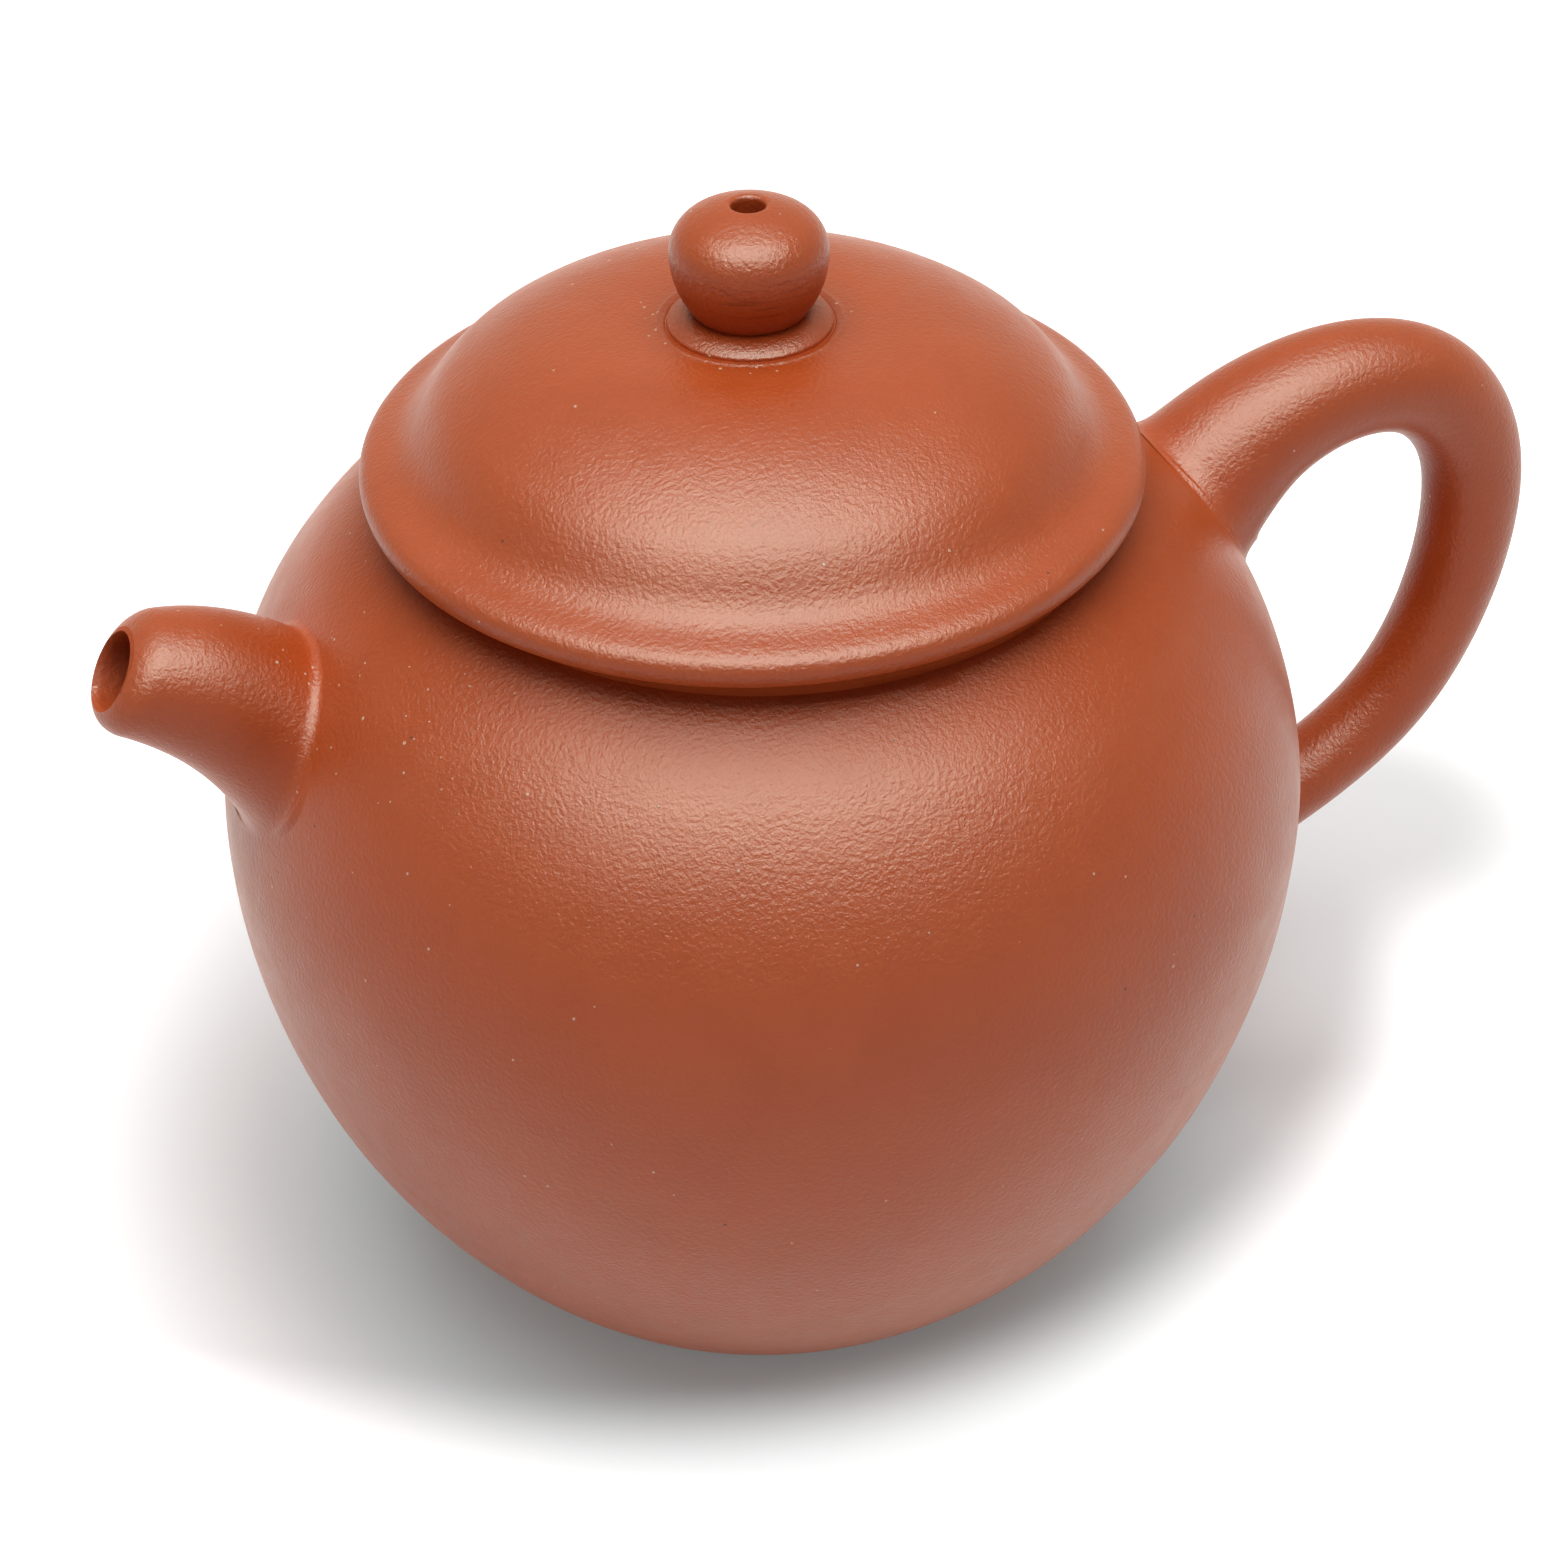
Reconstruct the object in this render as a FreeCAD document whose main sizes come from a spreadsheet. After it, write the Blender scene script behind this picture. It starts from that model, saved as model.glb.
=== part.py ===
"""Round clay teapot with a domed lid, built from the pieces that a potter lutes together.

Millimetres. The foot stands on z = 0, the axis of the pot is Z, the spout points along -X
and the handle stands out along +X.
"""
import FreeCAD
import Part
import Sketcher
import math
import os
import re

# Driving dimensions: name and value. A level is a share of the way from the belly up to the
# shoulder, or down to the foot where it is negative.
SIZES = {
    # Pot: widest place, foot and shoulder
    "belly_radius": 40.25,
    "belly_height": 39.6,
    "foot_radius": 22.6,
    "foot_round": 2.0,
    "foot_ring": 4.5,
    "foot_hollow": 1.6,
    "wall": 3.0,
    "base_seam": 4.5,
    "shoulder_seam_level": 0.7947,
    "shoulder_top": 65.9,
    # Mouth
    "mouth_radius": 22.0,
    "neck_wall": 3.5,
    "neck_rise": 0.8,
    "neck_round": 0.4,
    # Lid: flared rim, dome and the flange under it; slopes in degrees
    "lip_overhang": 2.0,
    "lip_rise": 2.0,
    "lip_round": 0.9,
    "lip_under": 0.25,
    "cove_width": 4.36,
    "dome_rise": 11.35,
    "dome_bend": 19.5,
    "dome_slope": 38.0,
    "edge_bend": 8.0,
    "edge_slope": 62.0,
    "lid_wall": 3.0,
    "flange_depth": 7.2,
    "flange_wall": 2.5,
    "flange_round": 0.6,
    "lid_clearance": 0.3,
    # Knob and the disc that carries it
    "collar_radius": 5.72,
    "collar_height": 0.65,
    "collar_round": 0.2,
    "groove_width": 0.5,
    "groove_depth": 0.25,
    "knob_radius": 5.42,
    "knob_stem": 3.4,
    "knob_heel": 4.42,
    "knob_heel_rise": 0.95,
    "knob_heel_bend": 2.25,
    "knob_low": 4.83,
    "knob_high": 3.58,
    "knob_shoulder": 2.92,
    "vent_radius": 1.15,
    # Spout: an arc seen from the side, from its root on the wall to its upturned mouth
    "spout_root_level": 0.5778,
    "spout_root_out": 1.02,
    "spout_bend": 15.5,
    "spout_tip_slope": 11.8,
    "spout_root_slope": 54.1,
    "spout_mouth_tilt": 33.0,
    "spout_root_tilt": 26.0,
    "spout_tip_radius": 4.15,
    "spout_root_radius": 6.35,
    "spout_flare": 0.3,
    "spout_bore_tip": 2.65,
    "spout_bore_root": 4.4,
    "spout_lip_round": 1.1,
    "spout_bore_round": 0.2,
    # Ball strainer behind the spout
    "strainer_radius": 7.4,
    "strainer_wall": 1.6,
    "strainer_hole": 1.0,
    "strainer_ring_angle": 27.0,
    # Handle: how far each place stands from the belly, its level and its thickness
    "handle_top_level": 0.6578,
    "handle_top_radius": 6.2,
    "handle_rise_out": -0.67,
    "handle_rise_level": 0.8082,
    "handle_rise_radius": 5.2,
    "handle_crown_out": 13.06,
    "handle_crown_level": 0.8566,
    "handle_crown_radius": 4.2,
    "handle_corner_out": 18.66,
    "handle_corner_level": 0.6209,
    "handle_corner_radius": 3.95,
    "handle_back_out": 19.85,
    "handle_back_level": 0.356,
    "handle_back_radius": 3.8,
    "handle_low_out": 14.46,
    "handle_low_level": -0.1897,
    "handle_low_radius": 3.41,
    "handle_end_level": -0.463,
    "handle_end_radius": 3.5,
}

# Sizes that follow from the driving ones, as formulas in their names.
DERIVED = {
    "neck_radius": "mouth_radius + neck_wall",
    "lip_radius": "neck_radius + lip_overhang",
    "seat_height": "shoulder_top + neck_rise",
    "low_bend": "((belly_radius - foot_radius)^2 + belly_height^2) / (2 * (belly_radius - foot_radius))",
    "low_axis": "belly_radius - low_bend",
    "high_rise": "shoulder_top - belly_height",
    "high_bend": "((belly_radius - neck_radius)^2 + high_rise^2) / (2 * (belly_radius - neck_radius))",
    "high_axis": "belly_radius - high_bend",
    "low_inside": "low_bend - wall",
    "high_inside": "high_bend - wall",
    "shoulder_seam": "belly_height + shoulder_seam_level * high_rise",
    "base_outer": "low_axis + sqrt(low_bend^2 - (belly_height - base_seam)^2)",
    "base_inner": "low_axis + sqrt(low_inside^2 - (belly_height - base_seam)^2)",
    "shoulder_outer": "high_axis + sqrt(high_bend^2 - (shoulder_seam - belly_height)^2)",
    "shoulder_inner": "high_axis + sqrt(high_inside^2 - (shoulder_seam - belly_height)^2)",
    "neck_bottom": "belly_height + sqrt(high_inside^2 - (neck_radius - high_axis)^2)",
    "hollow_radius": "foot_radius - foot_ring",
    "hollow_bend": "(hollow_radius^2 + foot_hollow^2) / (2 * foot_hollow)",
    "flange_outer": "mouth_radius - lid_clearance",
    "flange_inner": "flange_outer - flange_wall",
    "dome_top": "seat_height + dome_rise",
    "dome_axis": "dome_top - dome_bend",
    "dome_edge": "lip_radius - cove_width",
    "dome_mid": "dome_edge - edge_bend * (sin(edge_slope * 1deg) - sin(dome_slope * 1deg))",
    "crown_flat": "dome_mid - dome_bend * sin(dome_slope * 1deg)",
    "dome_mid_height": "dome_axis + dome_bend * cos(dome_slope * 1deg)",
    "dome_edge_height":
        "dome_mid_height + edge_bend * (cos(edge_slope * 1deg) - cos(dome_slope * 1deg))",
    "cove_rise": "dome_edge_height - seat_height - lip_rise",
    "cove_span": "cove_width - lip_round",
    "cove_turn": "edge_slope * 1deg - atan(cove_rise / cove_span)",
    "cove_bend": "sqrt(cove_rise^2 + cove_span^2) / (2 * sin(cove_turn))",
    "dome_inside": "dome_bend - lid_wall",
    "dome_under": "dome_axis + sqrt(dome_inside^2 - (flange_inner - crown_flat)^2)",
    "collar_seat": "dome_top - groove_depth",
    "collar_top": "collar_seat + collar_height",
    "knob_waist": "collar_top + knob_low",
    "knob_side_rise": "knob_low - knob_heel_rise",
    "knob_taper": "knob_radius - knob_heel",
    "knob_side_bend": "(knob_taper^2 + knob_side_rise^2) / (2 * knob_taper)",
    "knob_inset": "knob_radius - knob_shoulder",
    "crown_bend": "(knob_inset^2 + knob_high^2 - knob_shoulder^2) / (2 * (knob_high - knob_shoulder))",
    "crown_axis": "knob_waist + knob_high - crown_bend",
    "crown_share": "crown_bend / (crown_bend - knob_shoulder)",
    "crown_edge": "crown_share * knob_inset",
    "crown_edge_height": "crown_axis + crown_share * (knob_waist - crown_axis)",
    "vent_top": "crown_axis + sqrt(crown_bend^2 - vent_radius^2)",
}

SPOUT_STATIONS = 8
ROOT_SHARE = 1.4
FLARE_START = 0.5
HANDLE_STEPS = 3
STRAINER_RINGS = (1, 6, 12)
ROOT_DEPTH = 5.0
TIP_MARGIN = 2.0
EDGE_MATCH = 1e-4

doc = FreeCAD.newDocument("Teapot")
sheet = doc.addObject("Spreadsheet::Sheet", "Sizes")


def fill_sheet():
    """Write each driving dimension beside its name and give its cell that name."""
    for row, (name, number) in enumerate(SIZES.items(), start=1):
        sheet.set(f"A{row}", name)
        sheet.set(f"B{row}", str(number))
        sheet.setAlias(f"B{row}", name)
    doc.recompute()


def bind(text):
    """Spell a formula in size names as an expression on the sheet's cells."""
    def spell(match):
        word = match.group()
        if word in DERIVED:
            return f"({bind(DERIVED[word])})"
        return f"Sizes.{word}" if word in SIZES else word
    return re.sub(r"(?<!\d)[a-z_]+", spell, text)


def value(text):
    """Number that a formula in size names gives."""
    return float(sheet.evalExpression(bind(text)))


class Outline:
    """Closed half section of a turned piece, drawn in the XZ plane of its own body."""

    def __init__(self, sketch, radius, height):
        self.sketch = sketch
        self.first = (radius, height)
        self.here = self.first
        self.edges = []

    def place(self, vertex):
        return FreeCAD.Vector(value(vertex[0]), value(vertex[1]), 0)

    def line(self, radius, height):
        target = (radius, height)
        edge = Part.LineSegment(self.place(self.here), self.place(target))
        self.edges.append((self.sketch.addGeometry(edge), 1, 2, target))
        self.here = target

    def arc(self, radius, height, bend, turn):
        """Arc of the named bend to the next vertex, turning left or right on the way."""
        target = (radius, height)
        ends = [self.place(self.here), self.place(target)]
        if turn == "right":
            ends.reverse()
        chord = ends[1] - ends[0]
        normal = FreeCAD.Vector(-chord.y, chord.x, 0).normalize()
        reach = math.sqrt(value(bend) ** 2 - (chord.Length / 2) ** 2)
        centre = (ends[0] + ends[1]) / 2 + normal * reach
        angles = [math.atan2(end.y - centre.y, end.x - centre.x) for end in ends]
        circle = Part.Circle(centre, FreeCAD.Vector(0, 0, 1), value(bend))
        number = self.sketch.addGeometry(Part.ArcOfCircle(circle, angles[0], angles[1]))
        self.hold("Radius", bend, number)
        first, last = (1, 2) if turn == "left" else (2, 1)
        self.edges.append((number, first, last, target))
        self.here = target

    def hold(self, kind, text, *geometry):
        """Constrain a size of the sketch and bind it to the sheet."""
        number = self.sketch.addConstraint(Sketcher.Constraint(kind, *geometry, value(text)))
        self.sketch.setExpression(f"Constraints[{number}]", bind(text))

    def close(self):
        """Join the edges end to end and hold every vertex at its radius and height."""
        self.line(*self.first)
        for index, (number, _, last, vertex) in enumerate(self.edges):
            following, start = self.edges[(index + 1) % len(self.edges)][:2]
            joint = Sketcher.Constraint("Coincident", number, last, following, start)
            self.sketch.addConstraint(joint)
            for kind, axis, text in (("DistanceX", -2, vertex[0]), ("DistanceY", -1, vertex[1])):
                if text == "0":
                    on_axis = Sketcher.Constraint("PointOnObject", number, last, axis)
                    self.sketch.addConstraint(on_axis)
                else:
                    self.hold(kind, text, -1, 1, number, last)


def turned(label, draw):
    """Body turned about Z from the outline that draw() makes, and its revolution."""
    body = doc.addObject("PartDesign::Body", label)
    body.Label = label
    plane = next(item for item in body.Origin.OriginFeatures if item.Role == "XZ_Plane")
    sketch = body.newObject("Sketcher::SketchObject", f"{label}_section")
    sketch.AttachmentSupport = [(plane, "")]
    sketch.MapMode = "FlatFace"
    draw(sketch).close()
    revolution = body.newObject("PartDesign::Revolution", f"{label}_turned")
    revolution.Profile = sketch
    revolution.ReferenceAxis = (sketch, ["V_Axis"])
    revolution.Angle = 360.0
    doc.recompute()
    return body


def round_rims(body, bend, *rims):
    """Fillet the circular edges of a turned body at the given (radius, height) places."""
    base = body.Tip
    names = []
    for radius, height in rims:
        spot = (value(radius), value(height))
        for number, edge in enumerate(base.Shape.Edges, start=1):
            if edge.Degenerated or not isinstance(edge.Curve, Part.Circle):
                continue
            if math.dist((edge.Curve.Radius, edge.Curve.Center.z), spot) < EDGE_MATCH:
                names.append(f"Edge{number}")
    fillet = body.newObject("PartDesign::Fillet", f"{body.Name}_rounding")
    fillet.Base = (base, names)
    fillet.setExpression("Radius", bind(bend))
    doc.recompute()
    return body


def combine(kind, label, base, tool):
    """Boolean of two objects as an object of its own."""
    result = doc.addObject(kind, label)
    result.Label = label
    result.Base = base
    result.Tool = tool
    doc.recompute()
    return result


def station(label, centre, slope, radius):
    """Circle square to the direction that rises by slope degrees from +X."""
    circle = doc.addObject("Part::Circle", label)
    circle.setExpression("Radius", bind(radius))
    turn = FreeCAD.Rotation(FreeCAD.Vector(0, 1, 0), 90 - slope)
    circle.Placement = FreeCAD.Placement(FreeCAD.Vector(centre[0], 0, centre[1]), turn)
    return circle


def loft(label, stations):
    """Smooth solid through a row of circles."""
    solid = doc.addObject("Part::Loft", label)
    solid.Sections = stations
    solid.Solid = True
    solid.Ruled = False
    doc.recompute()
    return solid


def pot_form(sketch):
    """Whole outside of the pot, which the spout and the handle are luted to."""
    outline = Outline(sketch, "0", "0")
    outline.line("foot_radius", "0")
    outline.arc("belly_radius", "belly_height", "low_bend", "left")
    outline.arc("neck_radius", "shoulder_top", "high_bend", "left")
    outline.line("0", "shoulder_top")
    return outline


def tea_space(sketch):
    """Hollow inside the wall, from the floor to the neck."""
    outline = Outline(sketch, "0", "base_seam")
    outline.line("base_inner", "base_seam")
    outline.arc("belly_radius - wall", "belly_height", "low_inside", "left")
    outline.arc("neck_radius", "neck_bottom", "high_inside", "left")
    outline.line("0", "neck_bottom")
    return outline


def base_section(sketch):
    """Slab that closes the bottom, pressed in under the middle so that only a ring rests."""
    outline = Outline(sketch, "0", "foot_hollow")
    outline.arc("hollow_radius", "0", "hollow_bend", "right")
    outline.line("foot_radius", "0")
    outline.arc("base_outer", "base_seam", "low_bend", "left")
    outline.line("0", "base_seam")
    return outline


def wall_section(sketch):
    """Paddled wall of the globe between its two flat rims."""
    outline = Outline(sketch, "base_outer", "base_seam")
    outline.arc("belly_radius", "belly_height", "low_bend", "left")
    outline.arc("shoulder_outer", "shoulder_seam", "high_bend", "left")
    outline.line("shoulder_inner", "shoulder_seam")
    outline.arc("belly_radius - wall", "belly_height", "high_inside", "right")
    outline.arc("base_inner", "base_seam", "low_inside", "right")
    return outline


def shoulder_section(sketch):
    """Disc that closes the top of the wall, with the mouth cut out of it."""
    outline = Outline(sketch, "shoulder_outer", "shoulder_seam")
    outline.arc("neck_radius", "shoulder_top", "high_bend", "left")
    outline.line("neck_radius", "neck_bottom")
    outline.arc("shoulder_inner", "shoulder_seam", "high_inside", "right")
    return outline


def neck_section(sketch):
    """Ring that lines the mouth and carries the lid."""
    outline = Outline(sketch, "mouth_radius", "neck_bottom")
    outline.line("neck_radius", "neck_bottom")
    outline.line("neck_radius", "seat_height")
    outline.line("mouth_radius", "seat_height")
    return outline


def dome_section(sketch):
    """Lid plate: a hollow dome, flat under its edge, with a seat for the knob's collar."""
    outline = Outline(sketch, "vent_radius", "dome_top - lid_wall")
    outline.line("crown_flat", "dome_top - lid_wall")
    outline.arc("flange_inner", "dome_under", "dome_inside", "right")
    outline.line("flange_inner", "seat_height")
    outline.line("dome_edge", "seat_height")
    outline.line("dome_edge", "dome_edge_height")
    outline.arc("dome_mid", "dome_mid_height", "edge_bend", "left")
    outline.arc("crown_flat", "dome_top", "dome_bend", "left")
    outline.line("collar_radius + groove_width", "dome_top")
    outline.line("collar_radius + groove_width", "collar_seat")
    outline.line("vent_radius", "collar_seat")
    return outline


def rim_section(sketch):
    """Flared rim round the dome: a cove above, a rounded edge and a flat that lies on the neck."""
    outline = Outline(sketch, "dome_edge", "seat_height")
    outline.line("lip_radius - lip_under", "seat_height")
    outline.line("lip_radius", "seat_height + lip_rise - lip_round")
    outline.arc("lip_radius - lip_round", "seat_height + lip_rise", "lip_round", "left")
    outline.arc("dome_edge", "dome_edge_height", "cove_bend", "right")
    return outline


def flange_section(sketch):
    """Ring under the lid that keeps it in the mouth."""
    outline = Outline(sketch, "flange_inner", "seat_height - flange_depth")
    outline.line("flange_outer", "seat_height - flange_depth")
    outline.line("flange_outer", "seat_height")
    outline.line("flange_inner", "seat_height")
    return outline


def collar_section(sketch):
    """Thin disc between the dome and the knob."""
    outline = Outline(sketch, "vent_radius", "collar_seat")
    outline.line("collar_radius", "collar_seat")
    outline.line("collar_radius", "collar_top")
    outline.line("vent_radius", "collar_top")
    return outline


def knob_section(sketch):
    """Flattened pearl that tapers to a rounded heel, with the vent down its middle."""
    outline = Outline(sketch, "vent_radius", "collar_top")
    outline.line("knob_stem", "collar_top")
    outline.arc("knob_heel", "collar_top + knob_heel_rise", "knob_heel_bend", "left")
    outline.arc("knob_radius", "knob_waist", "knob_side_bend", "left")
    outline.arc("crown_edge", "crown_edge_height", "knob_shoulder", "left")
    outline.arc("vent_radius", "vent_top", "crown_bend", "left")
    return outline


def level_height(name):
    """Height of a named level above the foot."""
    level = value(name)
    return value("belly_height") + level * value("high_rise" if level > 0 else "belly_height")


def surface_radius(height):
    """Radius of the pot's outside at a height."""
    rise = height - value("belly_height")
    side = "high" if rise > 0 else "low"
    return value(f"{side}_axis") + math.sqrt(value(f"{side}_bend") ** 2 - rise ** 2)


def spout_place(share):
    """Centre and tilt of the spout at a share of its length, from 0 at the tip to 1 at the root."""
    tip = math.radians(value("spout_tip_slope"))
    root = math.radians(value("spout_root_slope"))
    bend = value("spout_bend")
    slope = tip + share * (root - tip)
    foot = level_height("spout_root_level")
    out = surface_radius(foot) + value("spout_root_out") + bend * (math.sin(root) - math.sin(slope))
    height = foot + bend * (math.cos(slope) - math.cos(root))
    tilt = value("spout_mouth_tilt") + share * (value("spout_root_tilt") - value("spout_mouth_tilt"))
    return out, height, tilt


def spout_row(label, tip_radius, root_radius, flare, margin):
    """Circles from inside the pot to the mouth, or past the mouth by a margin."""
    shares = [ROOT_SHARE * (1 - number / SPOUT_STATIONS) for number in range(SPOUT_STATIONS + 1)]
    places = [spout_place(share) for share in shares]
    places[-1] = step_along(places[-1], margin)
    circles = []
    for number, ((out, height, tilt), share) in enumerate(zip(places, shares)):
        spread = max(0.0, (share - FLARE_START) / (1 - FLARE_START)) ** 2
        taper = f"{tip_radius} + ({root_radius} - {tip_radius}) * {share:.4f}"
        radius = f"{taper} + {flare} * {spread:.4f}"
        circles.append(station(f"{label}_{number}", (-out, height), 180 - tilt, radius))
    return circles


def step_along(place, distance):
    """Place moved along its own tilt, away from the pot where the distance is positive."""
    out, height, tilt = place
    angle = math.radians(tilt)
    return out + distance * math.cos(angle), height + distance * math.sin(angle), tilt


def make_spout(form):
    """Tapered, bent spout with its bore and rounded lip, cut to the outside of the pot."""
    rings = spout_row("spout_ring", "spout_tip_radius", "spout_root_radius", "spout_flare", 0)
    bores = spout_row("bore_ring", "spout_bore_tip", "spout_bore_root", "0", TIP_MARGIN)
    outside = loft("spout_outside", rings)
    bore = loft("spout_bore", bores)
    tube = combine("Part::Cut", "spout_tube", outside, bore)
    out, height, _ = spout_place(0)
    tip = FreeCAD.Vector(-out, 0, height)
    near = value("spout_tip_radius") / 2
    rims = [(edge.Length, number) for number, edge in enumerate(tube.Shape.Edges, start=1)
            if edge.CenterOfMass.distanceToPoint(tip) < near and edge.isClosed()]
    lip = doc.addObject("Part::Fillet", "spout_lip")
    lip.Base = tube
    bends = [value("spout_bore_round"), value("spout_lip_round")]
    lip.Edges = [(number, bend, bend) for (_, number), bend in zip(sorted(rims), bends)]
    doc.recompute()
    return combine("Part::Cut", "spout", lip, form)


def root_depth(bend):
    """Distance from the spout's root, along its tilt into the pot, to a curve of the shoulder."""
    out, height, tilt = spout_place(1)
    angle = math.radians(tilt)
    east = out - value("high_axis")
    north = height - value("belly_height")
    along = east * math.cos(angle) + north * math.sin(angle)
    return along - math.sqrt(along ** 2 - east ** 2 - north ** 2 + value(bend) ** 2)


def tilted_cylinder(label, radius, height, place, direction):
    """Cylinder bound to two sizes, starting at a place and pointing along a direction."""
    cylinder = doc.addObject("Part::Cylinder", label)
    cylinder.setExpression("Radius", bind(radius))
    cylinder.setExpression("Height", bind(height))
    turn = FreeCAD.Rotation(FreeCAD.Vector(0, 0, 1), direction)
    cylinder.Placement = FreeCAD.Placement(place, turn)
    return cylinder


def make_wall():
    """Wall of the pot, pierced behind the spout."""
    wall = turned("wall_turned", wall_section)
    out, height, tilt = step_along(spout_place(1), -2 * value("wall"))
    angle = math.radians(tilt)
    direction = FreeCAD.Vector(-math.cos(angle), 0, math.sin(angle))
    place = FreeCAD.Vector(-out, 0, height)
    hole = tilted_cylinder("spout_hole", "spout_bore_root", "4 * wall", place, direction)
    return combine("Part::Cut", "body_wall", wall, hole)


def make_strainer(space):
    """Ball strainer: a pierced dome inside the wall, over the hole to the spout."""
    out, height, tilt = step_along(spout_place(1), -root_depth("high_inside"))
    angle = math.radians(tilt)
    centre = FreeCAD.Vector(-out, 0, height)
    inwards = FreeCAD.Vector(math.cos(angle), 0, -math.sin(angle))
    balls = []
    for label, radius in (("strainer_ball", "strainer_radius"),
                          ("strainer_hollow", "strainer_radius - strainer_wall")):
        ball = doc.addObject("Part::Sphere", label)
        ball.setExpression("Radius", bind(radius))
        ball.Placement.Base = centre
        balls.append(ball)
    shell = combine("Part::Cut", "strainer_shell", *balls)
    holes = []
    start = value("strainer_radius - 2 * strainer_wall")
    for ring, count in enumerate(STRAINER_RINGS):
        lean = FreeCAD.Rotation(FreeCAD.Vector(0, 1, 0), ring * value("strainer_ring_angle"))
        for number in range(count):
            spin = FreeCAD.Rotation(inwards, 360 * number / count)
            direction = spin.multVec(lean.multVec(inwards))
            holes.append(tilted_cylinder(f"strainer_hole_{ring}_{number}", "strainer_hole",
                                         "3 * strainer_wall", centre + direction * start, direction))
    drill = doc.addObject("Part::Compound", "strainer_holes")
    drill.Links = holes
    doc.recompute()
    pierced = combine("Part::Cut", "strainer_pierced", shell, drill)
    return combine("Part::Common", "strainer", pierced, space)


def make_handle(form):
    """Ear handle: a round rod through its named places, cut to the outside of the pot."""
    names = ("top", "rise", "crown", "corner", "back", "low", "end")
    points = []
    for name in names:
        height = level_height(f"handle_{name}_level")
        if name in ("top", "end"):
            out = surface_radius(height)
        else:
            out = value(f"belly_radius + handle_{name}_out")
        points.append(FreeCAD.Vector(out, 0, height))
    centreline = Part.BSplineCurve()
    centreline.interpolate(points)
    knots = [centreline.parameter(point) for point in points]
    places = []
    for index in range(len(names) - 1):
        for step in range(HANDLE_STEPS):
            share = step / HANDLE_STEPS
            near, far = (f"handle_{name}_radius" for name in names[index:index + 2])
            mix = f"{near} * {1 - share:.4f} + {far} * {share:.4f}"
            places.append((knots[index] + share * (knots[index + 1] - knots[index]), mix))
    places.append((knots[-1], "handle_end_radius"))
    rows = [(centreline.value(knot), centreline.tangent(knot)[0], mix) for knot, mix in places]
    first, last = rows[0], rows[-1]
    rows.insert(0, (first[0] - first[1] * ROOT_DEPTH, first[1], first[2]))
    rows.append((last[0] + last[1] * ROOT_DEPTH, last[1], last[2]))
    circles = []
    for number, (point, direction, radius) in enumerate(rows):
        slope = math.degrees(math.atan2(direction.z, direction.x))
        circles.append(station(f"handle_ring_{number}", (point.x, point.z), slope, radius))
    return combine("Part::Cut", "handle", loft("handle_rod", circles), form)


def check_and_write(pieces):
    """Stop at any failed object, then write each piece to its own file."""
    failed = [item.Name for item in doc.Objects if {"Invalid", "Error"} & set(item.State)]
    for piece in pieces:
        shape = piece.Shape
        if shape.isNull() or not shape.isValid() or len(shape.Solids) != 1:
            failed.append(piece.Label)
    if failed:
        raise RuntimeError(f"failed: {failed}")
    os.makedirs("parts", exist_ok=True)
    for piece in pieces:
        solid = piece.Shape.Solids[0]
        solid.exportStep(f"parts/{piece.Label}.step")
        print(f"{piece.Label}: {solid.Volume / 1000:.2f} cm3, {len(solid.Faces)} faces")


def main():
    fill_sheet()
    form = turned("pot_form", pot_form)
    space = turned("tea_space", tea_space)
    base = turned("base_disc", base_section)
    round_rims(base, "foot_round", ("foot_radius", "0"))
    neck = turned("neck_ring", neck_section)
    round_rims(neck, "neck_round", ("neck_radius", "seat_height"), ("mouth_radius", "seat_height"))
    flange = turned("lid_flange", flange_section)
    bottom = "seat_height - flange_depth"
    round_rims(flange, "flange_round", ("flange_outer", bottom), ("flange_inner", bottom))
    collar = turned("knob_collar", collar_section)
    round_rims(collar, "collar_round", ("collar_radius", "collar_top"))
    check_and_write([
        base,
        make_wall(),
        turned("shoulder_disc", shoulder_section),
        neck,
        make_spout(form),
        make_strainer(space),
        make_handle(form),
        turned("lid_dome", dome_section),
        turned("lid_rim", rim_section),
        flange,
        collar,
        turned("knob", knob_section),
    ])


main()
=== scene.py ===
"""Looks of a small round teapot of unglazed red clay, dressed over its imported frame.

Sizes are in millimetres, as a potter writes them, and meshes are made in metres. The pot stands
on z = 0, its axis is Z, the spout points along -X and the handle stands out along +X.
"""
import logging
import math
from dataclasses import dataclass, field
from enum import Enum
from typing import Callable

import bmesh
import bpy
import numpy as np
from mathutils import Euler, Matrix, Vector


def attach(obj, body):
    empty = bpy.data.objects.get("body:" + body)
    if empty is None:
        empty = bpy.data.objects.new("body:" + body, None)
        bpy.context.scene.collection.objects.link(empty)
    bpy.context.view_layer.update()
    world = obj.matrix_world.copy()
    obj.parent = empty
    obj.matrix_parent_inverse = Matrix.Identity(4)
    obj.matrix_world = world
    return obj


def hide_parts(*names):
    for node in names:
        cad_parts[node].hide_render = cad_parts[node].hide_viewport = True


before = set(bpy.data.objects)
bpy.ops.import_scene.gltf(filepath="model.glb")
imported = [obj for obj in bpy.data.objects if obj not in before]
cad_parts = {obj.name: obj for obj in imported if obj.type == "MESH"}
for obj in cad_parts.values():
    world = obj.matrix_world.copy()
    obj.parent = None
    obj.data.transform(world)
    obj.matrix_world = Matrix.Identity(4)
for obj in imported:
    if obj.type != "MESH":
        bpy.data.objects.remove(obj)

LOG = logging.getLogger("teapot")
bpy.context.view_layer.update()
MM = 0.001
PHOTO_PIXELS = 1560
CREASE = math.radians(38)
WELD = 1e-7
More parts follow.
